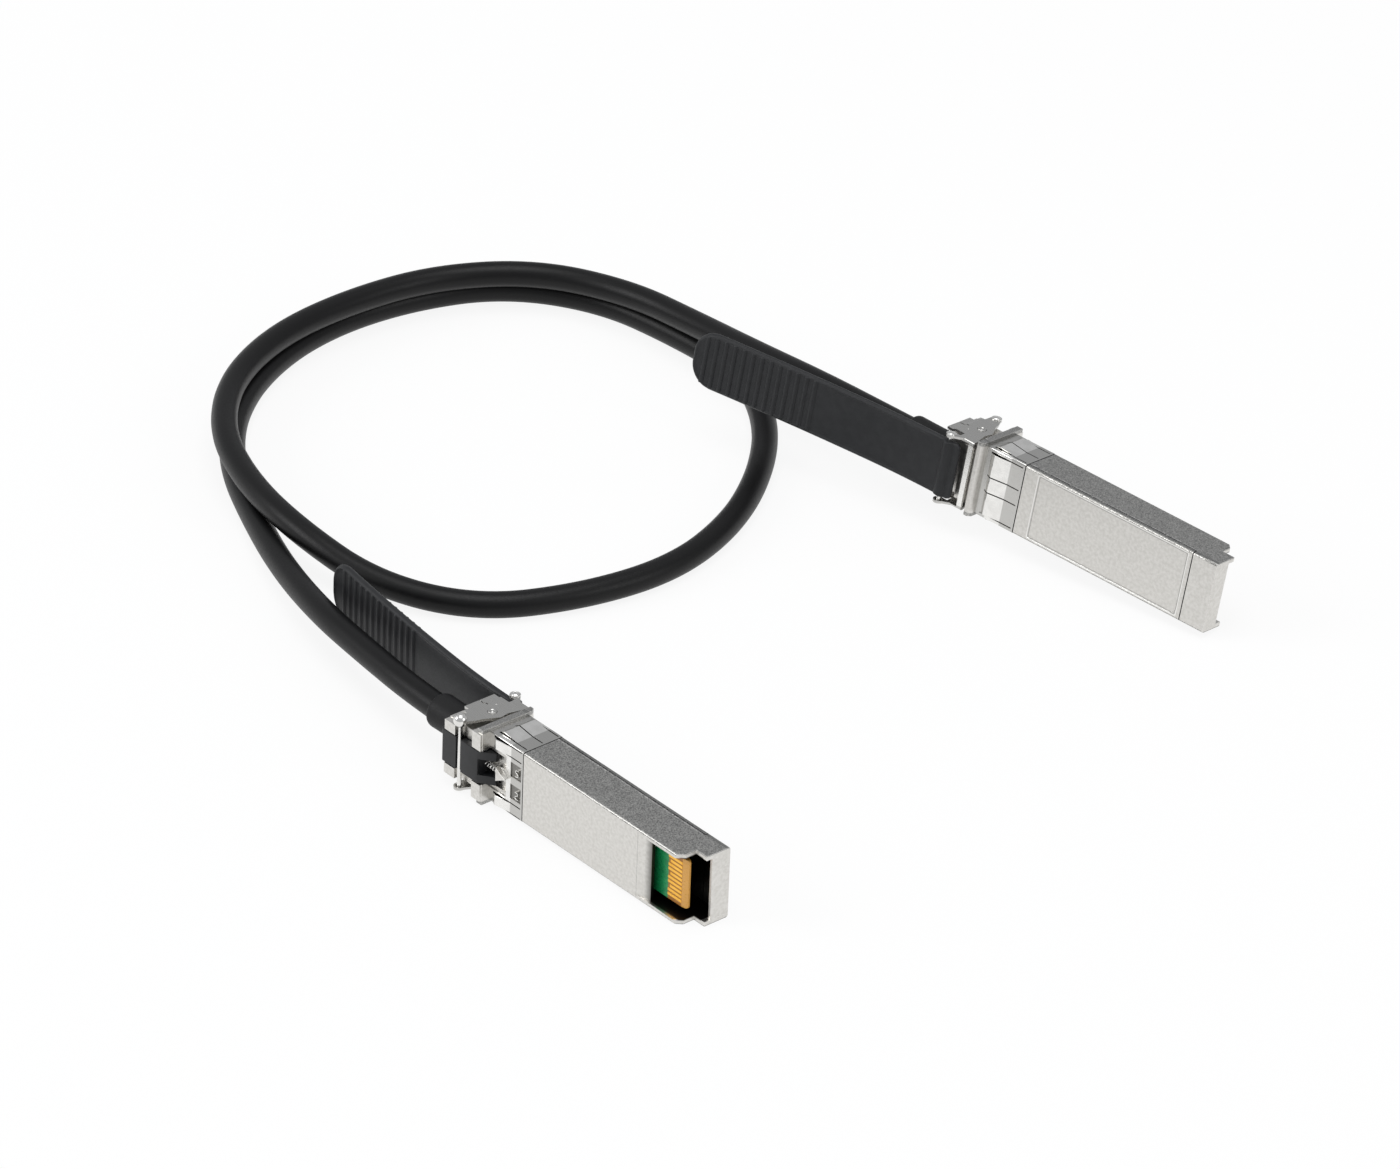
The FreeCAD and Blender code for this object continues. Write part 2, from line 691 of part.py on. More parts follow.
def release_slider(doc, label, s):
    """Plastic kick-out slider: grooved block and two ramped forks beside the latch boss."""
    body = doc.addObject("PartDesign::Body", label)
    low = -s.lug_bottom
    side = [
        (-s.slider_rear, low + 0.6), (-s.slider_rear + 0.6, low),
        (-s.pin_x - s.groove_half, low), (-s.pin_x - s.groove_half, -s.groove_top),
        (-s.pin_x + s.groove_half, -s.groove_top), (-s.pin_x + s.groove_half, low),
        (-s.fork_root, low), (-s.fork_tip, 0), (-s.fork_tip, s.slider_top), (-s.slider_rear, s.slider_top),
    ]
    pad(body, outline(body, "XZ", side), s.slider_half * 2, True)
    cut_blocks(body, middle((-s.fork_root, -s.fork_tip), s.fork_inner), low, s.slider_top)
    return body


def return_spring(doc, label, s):
    """Small coil spring between the slider and the island of the latch boss."""
    body = doc.addObject("PartDesign::Body", label)
    wire = s.spring_wire / 2
    sketch = body.newObject("Sketcher::SketchObject", "section")
    attach(sketch, body, "XZ", (0, s.spring_z, 0))
    start = -s.fork_root + wire
    turns = [2.0 * math.pi * number / WIRE_SIDES for number in range(WIRE_SIDES)]
    draw_outline(sketch, [
        (start + wire * math.cos(turn), s.spring_radius + wire * math.sin(turn)) for turn in turns])
    coil = body.newObject("PartDesign::AdditiveHelix", "coil")
    coil.Profile = sketch
    coil.ReferenceAxis = (sketch, ["H_Axis"])
    coil.Mode = "height-turns-angle"
    coil.setExpression("Height", (s.fork_root - s.island_rear - s.spring_wire).text)
    coil.setExpression("Turns", s.spring_turns.text)
    doc.recompute()
    return body


def pull_tab(doc, label, s):
    """Flexible strap: eye on its pin, a lip in front, then two easy bends and a ribbed grip."""
    body = doc.addObject("PartDesign::Body", label)
    thick = s.tab_thickness
    bottom = s.tab_pin_z - thick / 2
    top = s.tab_pin_z + thick / 2
    bend_x = -s.tab_level_end
    bend = s.tab_bend_angle
    end = bend + s.tab_sweep_length / s.tab_sweep_radius * (180.0 / math.pi)
    bend_centre = (bend_x, bottom + s.tab_bend_radius)
    sweep_centre = (bend_centre[0] + (s.tab_sweep_radius - s.tab_bend_radius) * sine(bend),
                    bend_centre[1] + (s.tab_sweep_radius - s.tab_bend_radius) * cosine(bend))

    def on_arc(centre, radius, angle):
        return centre[0] - radius * sine(angle), centre[1] - radius * cosine(angle)

    strap = [
        (-s.tab_pin_x, bottom), (-s.tab_pin_x, top), (bend_x, top),
        on_arc(bend_centre, s.tab_bend_radius - thick, bend),
        on_arc(sweep_centre, s.tab_sweep_radius - thick, end),
        on_arc(sweep_centre, s.tab_sweep_radius, end),
        on_arc(bend_centre, s.tab_bend_radius, bend), (bend_x, bottom),
    ]
    radii = {2: -(s.tab_bend_radius - thick), 3: -(s.tab_sweep_radius - thick),
             5: s.tab_sweep_radius, 6: s.tab_bend_radius}
    pad(body, outline(body, "XZ", strap, radii=radii), s.tab_width, True)
    end_x = strap[4][0].value

    def corner(edge):
        middle = edge.CenterOfMass
        return close(abs(middle.y), s.tab_width / 2) and abs(middle.x - end_x) < 1.0 and edge.Length < 2.0

    round_edges(body, s.tab_corner, corner)
    pin = [(-s.tab_pin_x, s.tab_pin_z)]
    pad(body, circles(body, "XZ", pin, s.tab_eye), s.tab_width, True)
    add_blocks(body, middle((-s.tab_pin_x, -s.tab_lip), s.tab_width / 2), s.tab_pin_z - 0.3, s.tab_pin_z + 0.5)
    pocket(body, circles(body, "XZ", pin, s.pin_radius + s.fit), s.tab_width, True)
    ribs = body.newObject("Sketcher::SketchObject", "ribs")
    attach(ribs, body, "XZ")
    lower, upper = s.tab_sweep_radius + s.rib_rise, s.tab_sweep_radius - thick - s.rib_rise
    ribbed = s.tab_sweep_length - s.rib_start - s.rib_length - s.rib_margin
    for number in range(1 + int(ribbed.value / s.rib_pitch.value)):
        first = s.rib_start + s.rib_pitch * number
        low, high = (bend + along / s.tab_sweep_radius * (180.0 / math.pi) for along in (first, first + s.rib_length))
        draw_outline(ribs, [on_arc(sweep_centre, lower, low), on_arc(sweep_centre, lower, high),
                            on_arc(sweep_centre, upper, high), on_arc(sweep_centre, upper, low)])
    pad(body, ribs, s.rib_width, True)
    return body


def circuit_board(doc, label, s):
    """Board with a bevelled nose."""
    body = doc.addObject("PartDesign::Body", label)
    shoulder = s.board_front - s.board_bevel
    side = [
        (s.board_rear, s.board_bottom), (shoulder, s.board_bottom),
        (s.board_front, s.board_bottom + s.bevel_depth), (s.board_front, s.board_top - s.bevel_depth),
        (shoulder, s.board_top), (s.board_rear, s.board_top),
    ]
    pad(body, outline(body, "XZ", side), s.board_half * 2, True)

    def corner(edge):
        return runs_along(edge, Z_AXIS) and edge.Length > 0.2

    round_edges(body, Size.of(0.5), corner)
    return body


def box_group(doc, label, boxes):
    """Separate boxes kept as one sub-part; each box gives its x, y and z spans."""
    pieces = []
    for spans in boxes:
        piece = doc.addObject("Part::Box", "piece")
        for name, axis, (low, high) in zip(("Length", "Width", "Height"), "xyz", spans):
            low, high = Size.of(low), Size.of(high)
            piece.setExpression(name, (high - low).text)
            piece.setExpression(f"Placement.Base.{axis}", low.text)
        pieces.append(piece)
    group = doc.addObject("Part::Compound", label)
    group.Links = pieces
    return group


def contact_pads(doc, label, s):
    """Edge contacts, alternately long and short, on both faces of the board."""
    front = s.board_front - s.board_bevel
    boxes = []
    for number in range(PADS_PER_FACE):
        y = s.pad_pitch * (number - (PADS_PER_FACE - 1) / 2)
        rear = s.pad_rear + (0.5 if number % 3 == 1 else 0.0)
        width = (y - s.pad_width / 2, y + s.pad_width / 2)
        boxes.append(((rear, front), width, (s.board_top, s.board_top + s.pad_thickness)))
        boxes.append(((rear, front), width, (s.board_bottom - s.pad_thickness, s.board_bottom)))
    return box_group(doc, label, boxes)


def board_parts(doc, label, s):
    """Memory chip and small passives soldered on the board."""
    top = s.board_top
    chip = (s.chip_x - s.chip_length / 2, s.chip_x + s.chip_length / 2)
    boxes = [(chip, (-s.chip_length / 2, s.chip_length / 2), (top, top + s.chip_height))]
    for column in range(1, 5):
        x = s.chip_x + s.passive_pitch * column
        for row in (-1.5, -0.5, 0.5, 1.5):
            y = s.passive_pitch * row
            boxes.append(((x, x + s.passive_length), (y, y + s.passive_length / 2),
                          (top, top + s.passive_length / 2)))
    return box_group(doc, label, boxes)


def twinax_wires(doc, label, s):
    """Two pairs of insulated wires laid from the ferrule to the board."""
    pieces = []
    for share in (-1.0, -0.4, 0.4, 1.0):
        wire = doc.addObject("Part::Cylinder", "wire")
        wire.setExpression("Radius", s.wire_radius.text)
        wire.setExpression("Height", (s.wire_end + s.ferrule_front).text)
        wire.Placement.Rotation = FreeCAD.Rotation(Y_AXIS, 90)
        for axis, size in zip("xyz", (-s.ferrule_front, s.wire_spread * share, s.board_top + s.wire_radius)):
            wire.setExpression(f"Placement.Base.{axis}", size.text)
        pieces.append(wire)
    group = doc.addObject("Part::Compound", label)
    group.Links = pieces
    return group


def turned(doc, label, s, section):
    """Round piece about the cable's axis; the section gives x and radius."""
    body = doc.addObject("PartDesign::Body", label)
    sketch = body.newObject("Sketcher::SketchObject", "section")
    attach(sketch, body, "XZ", (0, s.clamp_height, 0))
    draw_outline(sketch, section)
    turn = body.newObject("PartDesign::Revolution", "turn")
    turn.Profile = sketch
    turn.ReferenceAxis = (sketch, ["H_Axis"])
    turn.Angle = 360.0
    doc.recompute()
    return body


def crimp_ferrule(doc, label, s):
    """Metal ferrule crimped on the cable's shield."""
    radius = s.ferrule_radius
    return turned(doc, label, s, [(-s.jacket_start, 0), (-s.jacket_start, radius),
                                  (-s.ferrule_front - 0.3, radius), (-s.ferrule_front, radius - 0.3),
                                  (-s.ferrule_front, 0)])


def cable_boot(doc, label, s):
    """Sleeve round the cable where it leaves the shell."""
    bore = s.cable_diameter / 2 + s.fit * 2
    return turned(doc, label, s, [(-s.rear_end, bore), (-s.rear_end, s.boot_radius),
                                  (-s.boot_end + s.boot_chamfer, s.boot_radius),
                                  (-s.boot_end, s.boot_radius - s.boot_chamfer / 2), (-s.boot_end, bore)])


def rounded_path(points):
    """Straight runs joined by tangent arcs; returns the wire and the arcs' radii."""
    edges = []
    radii = []
    start = points[0]
    for before, corner, after in zip(points, points[1:], points[2:]):
        back, ahead = before - corner, after - corner
        turn = math.pi - back.getAngle(ahead)
        trim = 0.45 * min(back.Length, ahead.Length)
        radii.append(trim / math.tan(turn / 2.0))
        back, ahead = back.normalize(), ahead.normalize()
        first, last = corner + back * trim, corner + ahead * trim
        inward = (back + ahead).normalize()
        centre = corner + inward * math.hypot(trim, radii[-1])
        middle = centre - inward * radii[-1]
        edges.append(Part.LineSegment(start, first).toShape())
        edges.append(Part.Arc(first, middle, last).toShape())
        start = last
    edges.append(Part.LineSegment(start, points[-1]).toShape())
    return Part.Wire(edges), radii


def cable_jacket(doc, label, places):
    """Round cable from plug to plug along its resting route."""
    radius = DIMENSIONS["cable_diameter"] / 2.0
    axis = DIMENSIONS["clamp_height"]
    inner, outer = -DIMENSIONS["jacket_start"], -2.0 * DIMENSIONS["jacket_start"]
    ends = {
        tag: [place.multVec(FreeCAD.Vector(x, 0, axis)) for x in (inner, outer)]
        for tag, place in places.items()
    }
    points = ends["b"] + [FreeCAD.Vector(*point) for point in CABLE_ROUTE] + ends["a"][::-1]
    path, radii = rounded_path(points)
    print("cable length", round(path.Length, 1), "mm; bend radii", [round(value, 1) for value in radii])
    normal = (points[1] - points[0]).normalize()
    section = Part.Wire([Part.Circle(points[0], normal, radius).toShape()])
    jacket = doc.addObject("Part::Feature", label)
    jacket.Shape = Part.Wire(path).makePipeShell([section], True, True)
    expected = math.pi * radius * radius * path.Length
    if abs(jacket.Shape.Volume / expected - 1.0) > 0.01:
        raise RuntimeError(f"cable volume {jacket.Shape.Volume:.1f} is not {expected:.1f}")
    return jacket


def plug_places(s):
    """Where the two plugs lie: A on its narrow side, B on one corner of its nose."""
    drop = s.flange_half.value - s.plug_width.value / 2.0
    length = s.nose_length.value + s.collar_length.value
    tilt = math.degrees(math.atan2(drop, length))
    on_side = FreeCAD.Rotation(X_AXIS, -90)
    nose_down = FreeCAD.Rotation(Y_AXIS, tilt)
    height = s.flange_half.value * math.cos(math.radians(tilt)) - (
        s.collar_length.value * math.sin(math.radians(tilt)))
    middle = s.plug_height.value / 2.0
    x, y = PLUG_A_AXIS
    first = FreeCAD.Placement(FreeCAD.Vector(x, y - middle, height), nose_down * on_side)
    second = FreeCAD.Placement(FreeCAD.Vector(*PLUG_B_CORNER), FreeCAD.Rotation(*PLUG_B_TURN))
    return {"a": first, "b": second}


PLUG_PIECES = (
    shell_base, shell_cover, emi_collar, latch_lever, cross_pin, tab_pin, release_slider, return_spring,
    pull_tab, circuit_board, contact_pads, board_parts, twinax_wires, crimp_ferrule, cable_boot,
)


def main():
    doc = FreeCAD.newDocument("direct_attach_cable")
    s = new_sheet(doc)
    places = plug_places(s)
    nodes = []
    for tag, place in places.items():
        for make in PLUG_PIECES:
            piece = make(doc, f"{make.__name__}_{tag}", s)
            piece.Placement = place
            nodes.append(piece)
    nodes.append(cable_jacket(doc, "cable_jacket", places))
    doc.recompute()
    failed = [item.Name for item in doc.Objects if {"Invalid", "Error"} & set(item.State)]
    if failed:
        raise RuntimeError(f"failed features: {failed}")
    os.makedirs("parts", exist_ok=True)
    for piece in nodes:
        shape = piece.Shape
        if shape.isNull() or not shape.isValid() or not shape.Solids:
            raise RuntimeError(f"{piece.Label} has no valid solid")
        box = shape.BoundBox
        print(f"{piece.Label:20s} solids {len(shape.Solids):2d} volume {shape.Volume:9.2f} "
              f"z {box.ZMin:7.2f} {box.ZMax:7.2f}")
        shape.exportStep(f"parts/{piece.Label}.step")


main()
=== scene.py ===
"""Direct attach copper cable: finishes, soft pieces, springs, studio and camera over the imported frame."""

import json
import logging
import math
from dataclasses import dataclass, field
from enum import Enum

import bmesh
import bpy
from mathutils import Matrix, Quaternion, Vector

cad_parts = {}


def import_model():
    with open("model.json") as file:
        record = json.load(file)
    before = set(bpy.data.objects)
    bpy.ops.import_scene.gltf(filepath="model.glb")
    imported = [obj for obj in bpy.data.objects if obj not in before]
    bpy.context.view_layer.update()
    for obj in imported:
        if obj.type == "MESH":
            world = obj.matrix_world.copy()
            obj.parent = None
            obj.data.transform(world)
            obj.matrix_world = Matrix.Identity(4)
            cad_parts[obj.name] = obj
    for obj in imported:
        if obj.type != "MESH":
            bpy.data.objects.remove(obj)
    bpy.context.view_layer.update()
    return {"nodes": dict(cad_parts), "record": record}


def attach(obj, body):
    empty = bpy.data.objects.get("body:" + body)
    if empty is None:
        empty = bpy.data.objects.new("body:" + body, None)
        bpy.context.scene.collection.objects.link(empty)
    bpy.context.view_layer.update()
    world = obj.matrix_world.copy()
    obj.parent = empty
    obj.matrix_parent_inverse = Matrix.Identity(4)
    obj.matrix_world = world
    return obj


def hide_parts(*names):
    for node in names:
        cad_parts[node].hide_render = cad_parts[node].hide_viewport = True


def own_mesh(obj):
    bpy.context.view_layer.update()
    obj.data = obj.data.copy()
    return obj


Tree = bpy.types.NodeTree
Socket = bpy.types.NodeSocket
Material = bpy.types.Material
Piece = bpy.types.Object
Outline = list[tuple[float, float]]

LOG = logging.getLogger("direct_attach_cable")

MM = 0.001
FAR = 50.0
MERGE = 0.001
ROOT_BODY = "shells_and_cable"
TAGS = ("a", "b")
SIDES = {1: "left", -1: "right"}
# The strap of plug a lies out flatter than the other, so more of it shows.
TAB_SWEEP = {"a": 39.3, "b": 37.75}


# -------------------- nodes


def hex_colour(code: str) -> tuple[float, float, float, float]:
    """Turn an sRGB hex value into the linear colour that a socket takes.

    Args:
        code: Six hex digits with a leading #.

    Returns:
        Linear red, green and blue, and an alpha of 1.
    """
    channels = [int(code[place:place + 2], 16) / 255.0 for place in (1, 3, 5)]
    linear = [value / 12.92 if value <= 0.04045 else ((value + 0.055) / 1.055) ** 2.4 for value in channels]
    return (*linear, 1.0)


def add(tree: Tree, kind: str, inputs: dict | None = None, **settings: object) -> bpy.types.Node:
    """Add one node with its settings and what goes into it.

    Args:
        tree: Tree that the node goes in.
        kind: Type of the node.
        inputs: Value, reading or output socket that an input takes, by its name or number.
        settings: Properties of the node itself.

    Returns:
        The new node.
    """
    node = tree.nodes.new(kind)
    for name, value in settings.items():
        setattr(node, name, value)
    for name, value in (inputs or {}).items():
        socket = value.socket if isinstance(value, Reading) else value
        if isinstance(socket, Socket):
            tree.links.new(socket, node.inputs[name])
        else:
            node.inputs[name].default_value = value
    return node


@dataclass(frozen=True)
class Reading:
    """A number that differs from point to point; sums with it add nodes to its tree."""

    tree: Tree
    socket: Socket

    def sum(self, operation: str, *others: "Reading | float") -> "Reading":
        """Add one sum, of the kind named, of this number and others in order."""
        terms = dict(enumerate((self, *others)))
        return Reading(self.tree, add(self.tree, "ShaderNodeMath", terms, operation=operation).outputs[0])

    def __add__(self, other: "Reading | float") -> "Reading":
        """This and another."""
        return self.sum("ADD", other)

    def __sub__(self, other: "Reading | float") -> "Reading":
        """This less another."""
        return self.sum("SUBTRACT", other)

    def __mul__(self, other: "Reading | float") -> "Reading":
        """This times another."""
        return self.sum("MULTIPLY", other)

    def __or__(self, other: "Reading | float") -> "Reading":
        """The larger of this and another."""
        return self.sum("MAXIMUM", other)

    def __abs__(self) -> "Reading":
        """This without its sign."""
        return self.sum("ABSOLUTE")

    def fade(self, low: float, high: float, start: float = 0.0, end: float = 1.0,
             steps: str = "LINEAR") -> "Reading":
        """Pass from one value to another while this number passes from low to high.

        Args:
            low: Where the fade starts.
            high: Where the fade ends.
            start: Value up to low.
            end: Value from high.
            steps: How the values between them run.

        Returns:
            The value.
        """
        limits = {"Value": self, "From Min": low, "From Max": high, "To Min": start, "To Max": end}
        node = add(self.tree, "ShaderNodeMapRange", limits, interpolation_type=steps)
        return Reading(self.tree, node.outputs["Result"])

    def between(self, low: float, high: float, soft: float = 0.02) -> "Reading":
        """Share with 1 between two limits, each of which fades over a soft width."""
        return self.fade(low - soft, low + soft) * self.fade(high - soft, high + soft, 1.0, 0.0)

    def blend(self, one: str | Socket, other: str | Socket) -> Socket:
        """Blend two colours, with this number as the share of the second.

        Args:
            one: First colour, as an sRGB hex value or a socket.
            other: Second colour, as an sRGB hex value or a socket.

        Returns:
            Socket with the colour.
        """
        pair = [hex_colour(colour) if isinstance(colour, str) else colour for colour in (one, other)]
        inputs = {0: self, 6: pair[0], 7: pair[1]}
        return add(self.tree, "ShaderNodeMix", inputs, data_type="RGBA").outputs[2]


class FormTree:
    """A geometry tree with named sizes, which ends in real geometry with its finish on."""

    def __init__(self, name: str, sizes: dict[str, float | int]) -> None:
        """Start the tree with its named inputs.

        Args:
            name: Name of the tree.
            sizes: Value of each input, by its name.
        """
        self.tree = bpy.data.node_groups.new(name, "GeometryNodeTree")
        self.sizes = sizes
        sockets = self.tree.interface
        sockets.new_socket("Geometry", in_out="OUTPUT", socket_type="NodeSocketGeometry")
        for size, value in sizes.items():
            kind = "NodeSocketInt" if isinstance(value, int) else "NodeSocketFloat"
            sockets.new_socket(size, in_out="INPUT", socket_type=kind)
        self.given = add(self.tree, "NodeGroupInput").outputs

    def size(self, name: str) -> Reading:
        """One of the named sizes."""
        return Reading(self.tree, self.given[name])

    def add(self, kind: str, inputs: dict | None = None, **settings: object) -> Socket:
        """Add a node and give its first output."""
        return add(self.tree, kind, inputs, **settings).outputs[0]

    def reading(self, kind: str) -> Reading:
        """Add a node whose first output is a number."""
        return Reading(self.tree, self.add(kind))

    def run(self, geometry: Socket, name: str, material: Material, lay: Matrix) -> Piece:
        """End the tree, run it and keep its plain mesh as a piece.

        Args:
            geometry: What the tree makes.
            name: Name of the new piece.
            material: Finish of the piece.
            lay: Where the piece goes.

        Returns:
            The new piece.
        """
        real = self.add("GeometryNodeRealizeInstances", {"Geometry": geometry})
        dressed = self.add("GeometryNodeSetMaterial", {"Geometry": real, "Material": material})
        add(self.tree, "NodeGroupOutput", {0: dressed})
        piece = mesh_object(name, bpy.data.meshes.new(name), material)
        modifier = piece.modifiers.new("form", "NODES")
        modifier.node_group = self.tree
        for item in self.tree.interface.items_tree:
            if item.item_type == "SOCKET" and item.in_out == "INPUT":
                modifier[item.identifier] = self.sizes[item.name]
        bpy.context.view_layer.update()
        plain_mesh(piece)
        piece.data.transform(lay)
        form = bmesh.new()
        form.from_mesh(piece.data)
        fill_mesh(form, piece.data)
        return piece


# -------------------- meshes


def mesh_object(name: str, mesh: bpy.types.Mesh, material: Material) -> Piece:
    """Put a finished mesh in the scene.

    Args:
        name: Name of the new object.
        mesh: Mesh in metres, in place.
        material: The only material of the piece.

    Returns:
        The new object, at the origin.
    """
    mesh.name = name
    mesh.materials.clear()
    mesh.materials.append(material)
    piece = bpy.data.objects.new(name, mesh)
    bpy.context.scene.collection.objects.link(piece)
    return piece


def plain_mesh(piece: Piece) -> None:
    """Turn the modifiers of a piece into its mesh.

    Args:
        piece: Object whose modifiers are applied.
    """
    evaluated = piece.evaluated_get(bpy.context.evaluated_depsgraph_get())
    mesh = bpy.data.meshes.new_from_object(evaluated)
    piece.modifiers.clear()
    piece.data = mesh


def arc(centre: tuple[float, float], radii: tuple[float, float], angles: range) -> Outline:
    """Points of an ellipse at some angles, in degrees."""
    turns = [math.radians(angle) for angle in angles]
    return [(centre[0] + radii[0] * math.cos(turn), centre[1] + radii[1] * math.sin(turn)) for turn in turns]


def skin(form: bmesh.types.BMesh, rows: list[list], closed: bool = False) -> None:
    """Lay faces between neighbouring rows of points.

    Args:
        form: The form that the points belong to.
        rows: The rows, with the same number of points in each.
        closed: Whether each row is a loop.
    """
    for row, following in zip(rows, rows[1:]):
        for number in range(len(row) if closed else len(row) - 1):
            ahead = (number + 1) % len(row)
            form.faces.new((row[number], row[ahead], following[ahead], following[number]))


def round_edges(form: bmesh.types.BMesh, edges: list, width: float, segments: int) -> None:
    """Round some edges of a form by a width in the form's own unit."""
    bmesh.ops.bevel(form, geom=edges, offset=width, offset_type="OFFSET", segments=segments, profile=0.5,
                    affect="EDGES", clamp_overlap=True)


def fill_mesh(form: bmesh.types.BMesh, mesh: bpy.types.Mesh, smooth: bool = True, sharp: float = 180.0,
              outward: bool = True) -> None:
    """Write a form to a mesh.

    Args:
        form: The form, which is used up.
        mesh: Mesh that takes it.
        smooth: Whether faces are shaded smooth.
        sharp: Angle in degrees from which an edge stays sharp.
        outward: Whether faces are turned outwards first.
    """
    if outward:
        bmesh.ops.recalc_face_normals(form, faces=form.faces)
    for face in form.faces:
        face.smooth = smooth
    for edge in form.edges:
        edge.smooth = edge.calc_face_angle(0.0) <= math.radians(sharp)
    form.to_mesh(mesh)
    form.free()


def settle(piece: Piece, body: str, node: str | None = None) -> Piece:
    """Fix a piece to the body that it moves with.

    Args:
        piece: The finished piece.
        body: Body that it rides on.
        node: Node that it stands for, where it stands for one.

    Returns:
        The piece.
    """
    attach(piece, body)
    if node:
        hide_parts(node)
    return piece


@dataclass(frozen=True)
class PlugFrame:
    """A plug's own axes: X to the nose, Y across, Z from the latch face to the label face, in mm."""

    tag: str
    matrix: Matrix
    nose_length: float = 42.2
    half_height: float = 4.25
    finishes: dict = field(default_factory=dict)

    @classmethod
    def of(cls, tag: str, record: dict) -> "PlugFrame":
        """Read a plug's frame from its mount and from the axis of its lever, and make its finishes.

        Args:
            tag: Letter of the plug.
            record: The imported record.

        Returns:
            The plug's frame.
        """
        mount = next(item for item in record["mounts"] if item["name"] == f"plug_{tag}")
        joints = record["behaviour"]["joints"]
        hinge = next(item for item in joints if item["name"] == f"lever_turn_{tag}")
        along = Vector(mount["axis"]).normalized()
        across = -Vector(hinge["axis"]).normalized()
        upward = along.cross(across).normalized()
        corner = Vector(mount["pos_m"]) - along * cls.nose_length * MM - upward * cls.half_height * MM
        turn = Matrix((along, across, upward)).transposed().to_4x4()
        plug = cls(tag, Matrix.Translation(corner) @ turn @ Matrix.Scale(MM, 4))
        plug.finishes.update({finish.slot: finish.build(plug) for finish in FINISHES})
        return plug

    def node(self, name: str) -> str:
        """Name of this plug's node."""
        return f"{name}_{self.tag}"

    def place(self, x: float, y: float, z: float) -> Vector:
        """Point of the plug, in metres of the frame."""
        return self.matrix @ Vector((x, y, z))

    def coordinates(self, tree: Tree) -> Socket:
        """Add nodes that give a point in the plug's own millimetres.

        Args:
            tree: Tree of the material.

        Returns:
            Socket with the point.
        """
        where = add(tree, "ShaderNodeTexCoord").outputs["Object"]
        place, turn, _ = self.matrix.decompose()
        inputs = {"Vector": where, "Location": place, "Rotation": turn.to_euler(), "Scale": (MM, MM, MM)}
        return add(tree, "ShaderNodeMapping", inputs, vector_type="TEXTURE").outputs["Vector"]


class Axis(Enum):
    """How the axis of a turned piece runs, with the two ways that its radius starts from."""

    ACROSS = (Vector((0, 1, 0)), Vector((1, 0, 0)), Vector((0, 0, 1)))
    ALONG = (Vector((1, 0, 0)), Vector((0, 0, 1)), Vector((0, 1, 0)))


@dataclass(frozen=True)
class Turning:
    """An outline turned about an axis of the plug; a closed outline makes a ring."""

    plug: PlugFrame
    name: str
    axis: Axis
    centre: tuple[float, float, float]
    profile: Outline
    segments: int
    closed: bool = False
    sharp: float = 50.0

    def build(self, material: Material) -> Piece:
        """Turn the outline.

        Args:
            material: Finish of the piece.

        Returns:
            The new piece.
        """
        form = bmesh.new()
        way, first, second = self.axis.value
        rings = []
        for number in range(self.segments):
            angle = 2.0 * math.pi * number / self.segments
            out = first * math.cos(angle) + second * math.sin(angle)
            rings.append([form.verts.new(self.plug.place(*(Vector(self.centre) + way * along + out * radius)))
                          for along, radius in self.profile])
        skin(form, rings + rings[:1], self.closed)
        bmesh.ops.remove_doubles(form, verts=form.verts, dist=MERGE * MM)
        mesh = bpy.data.meshes.new(self.name)
        fill_mesh(form, mesh, sharp=self.sharp)
        return mesh_object(self.name, mesh, material)


# -------------------- finishes


class Grain(Enum):
    """How the surface was made, which sets the stretch of its grain along X, Y and Z."""

    CAST = (1.0, 1.0, 1.0)
    ROLLED = (0.12, 1.0, 1.0)
    # The last share only keeps this option apart from the first.
    MOULDED = (1.0, 1.0, 1.001)


@dataclass(frozen=True)
class Spot:
    """What a finish knows at each point: its place in the plug's millimetres, and noises from 0 to 1."""

    x: Reading
    y: Reading
    z: Reading
    grain: Reading
    patches: Reading

    @property
    def reach(self) -> Reading:
        """Distance from the plug's middle."""
        return abs(self.y)


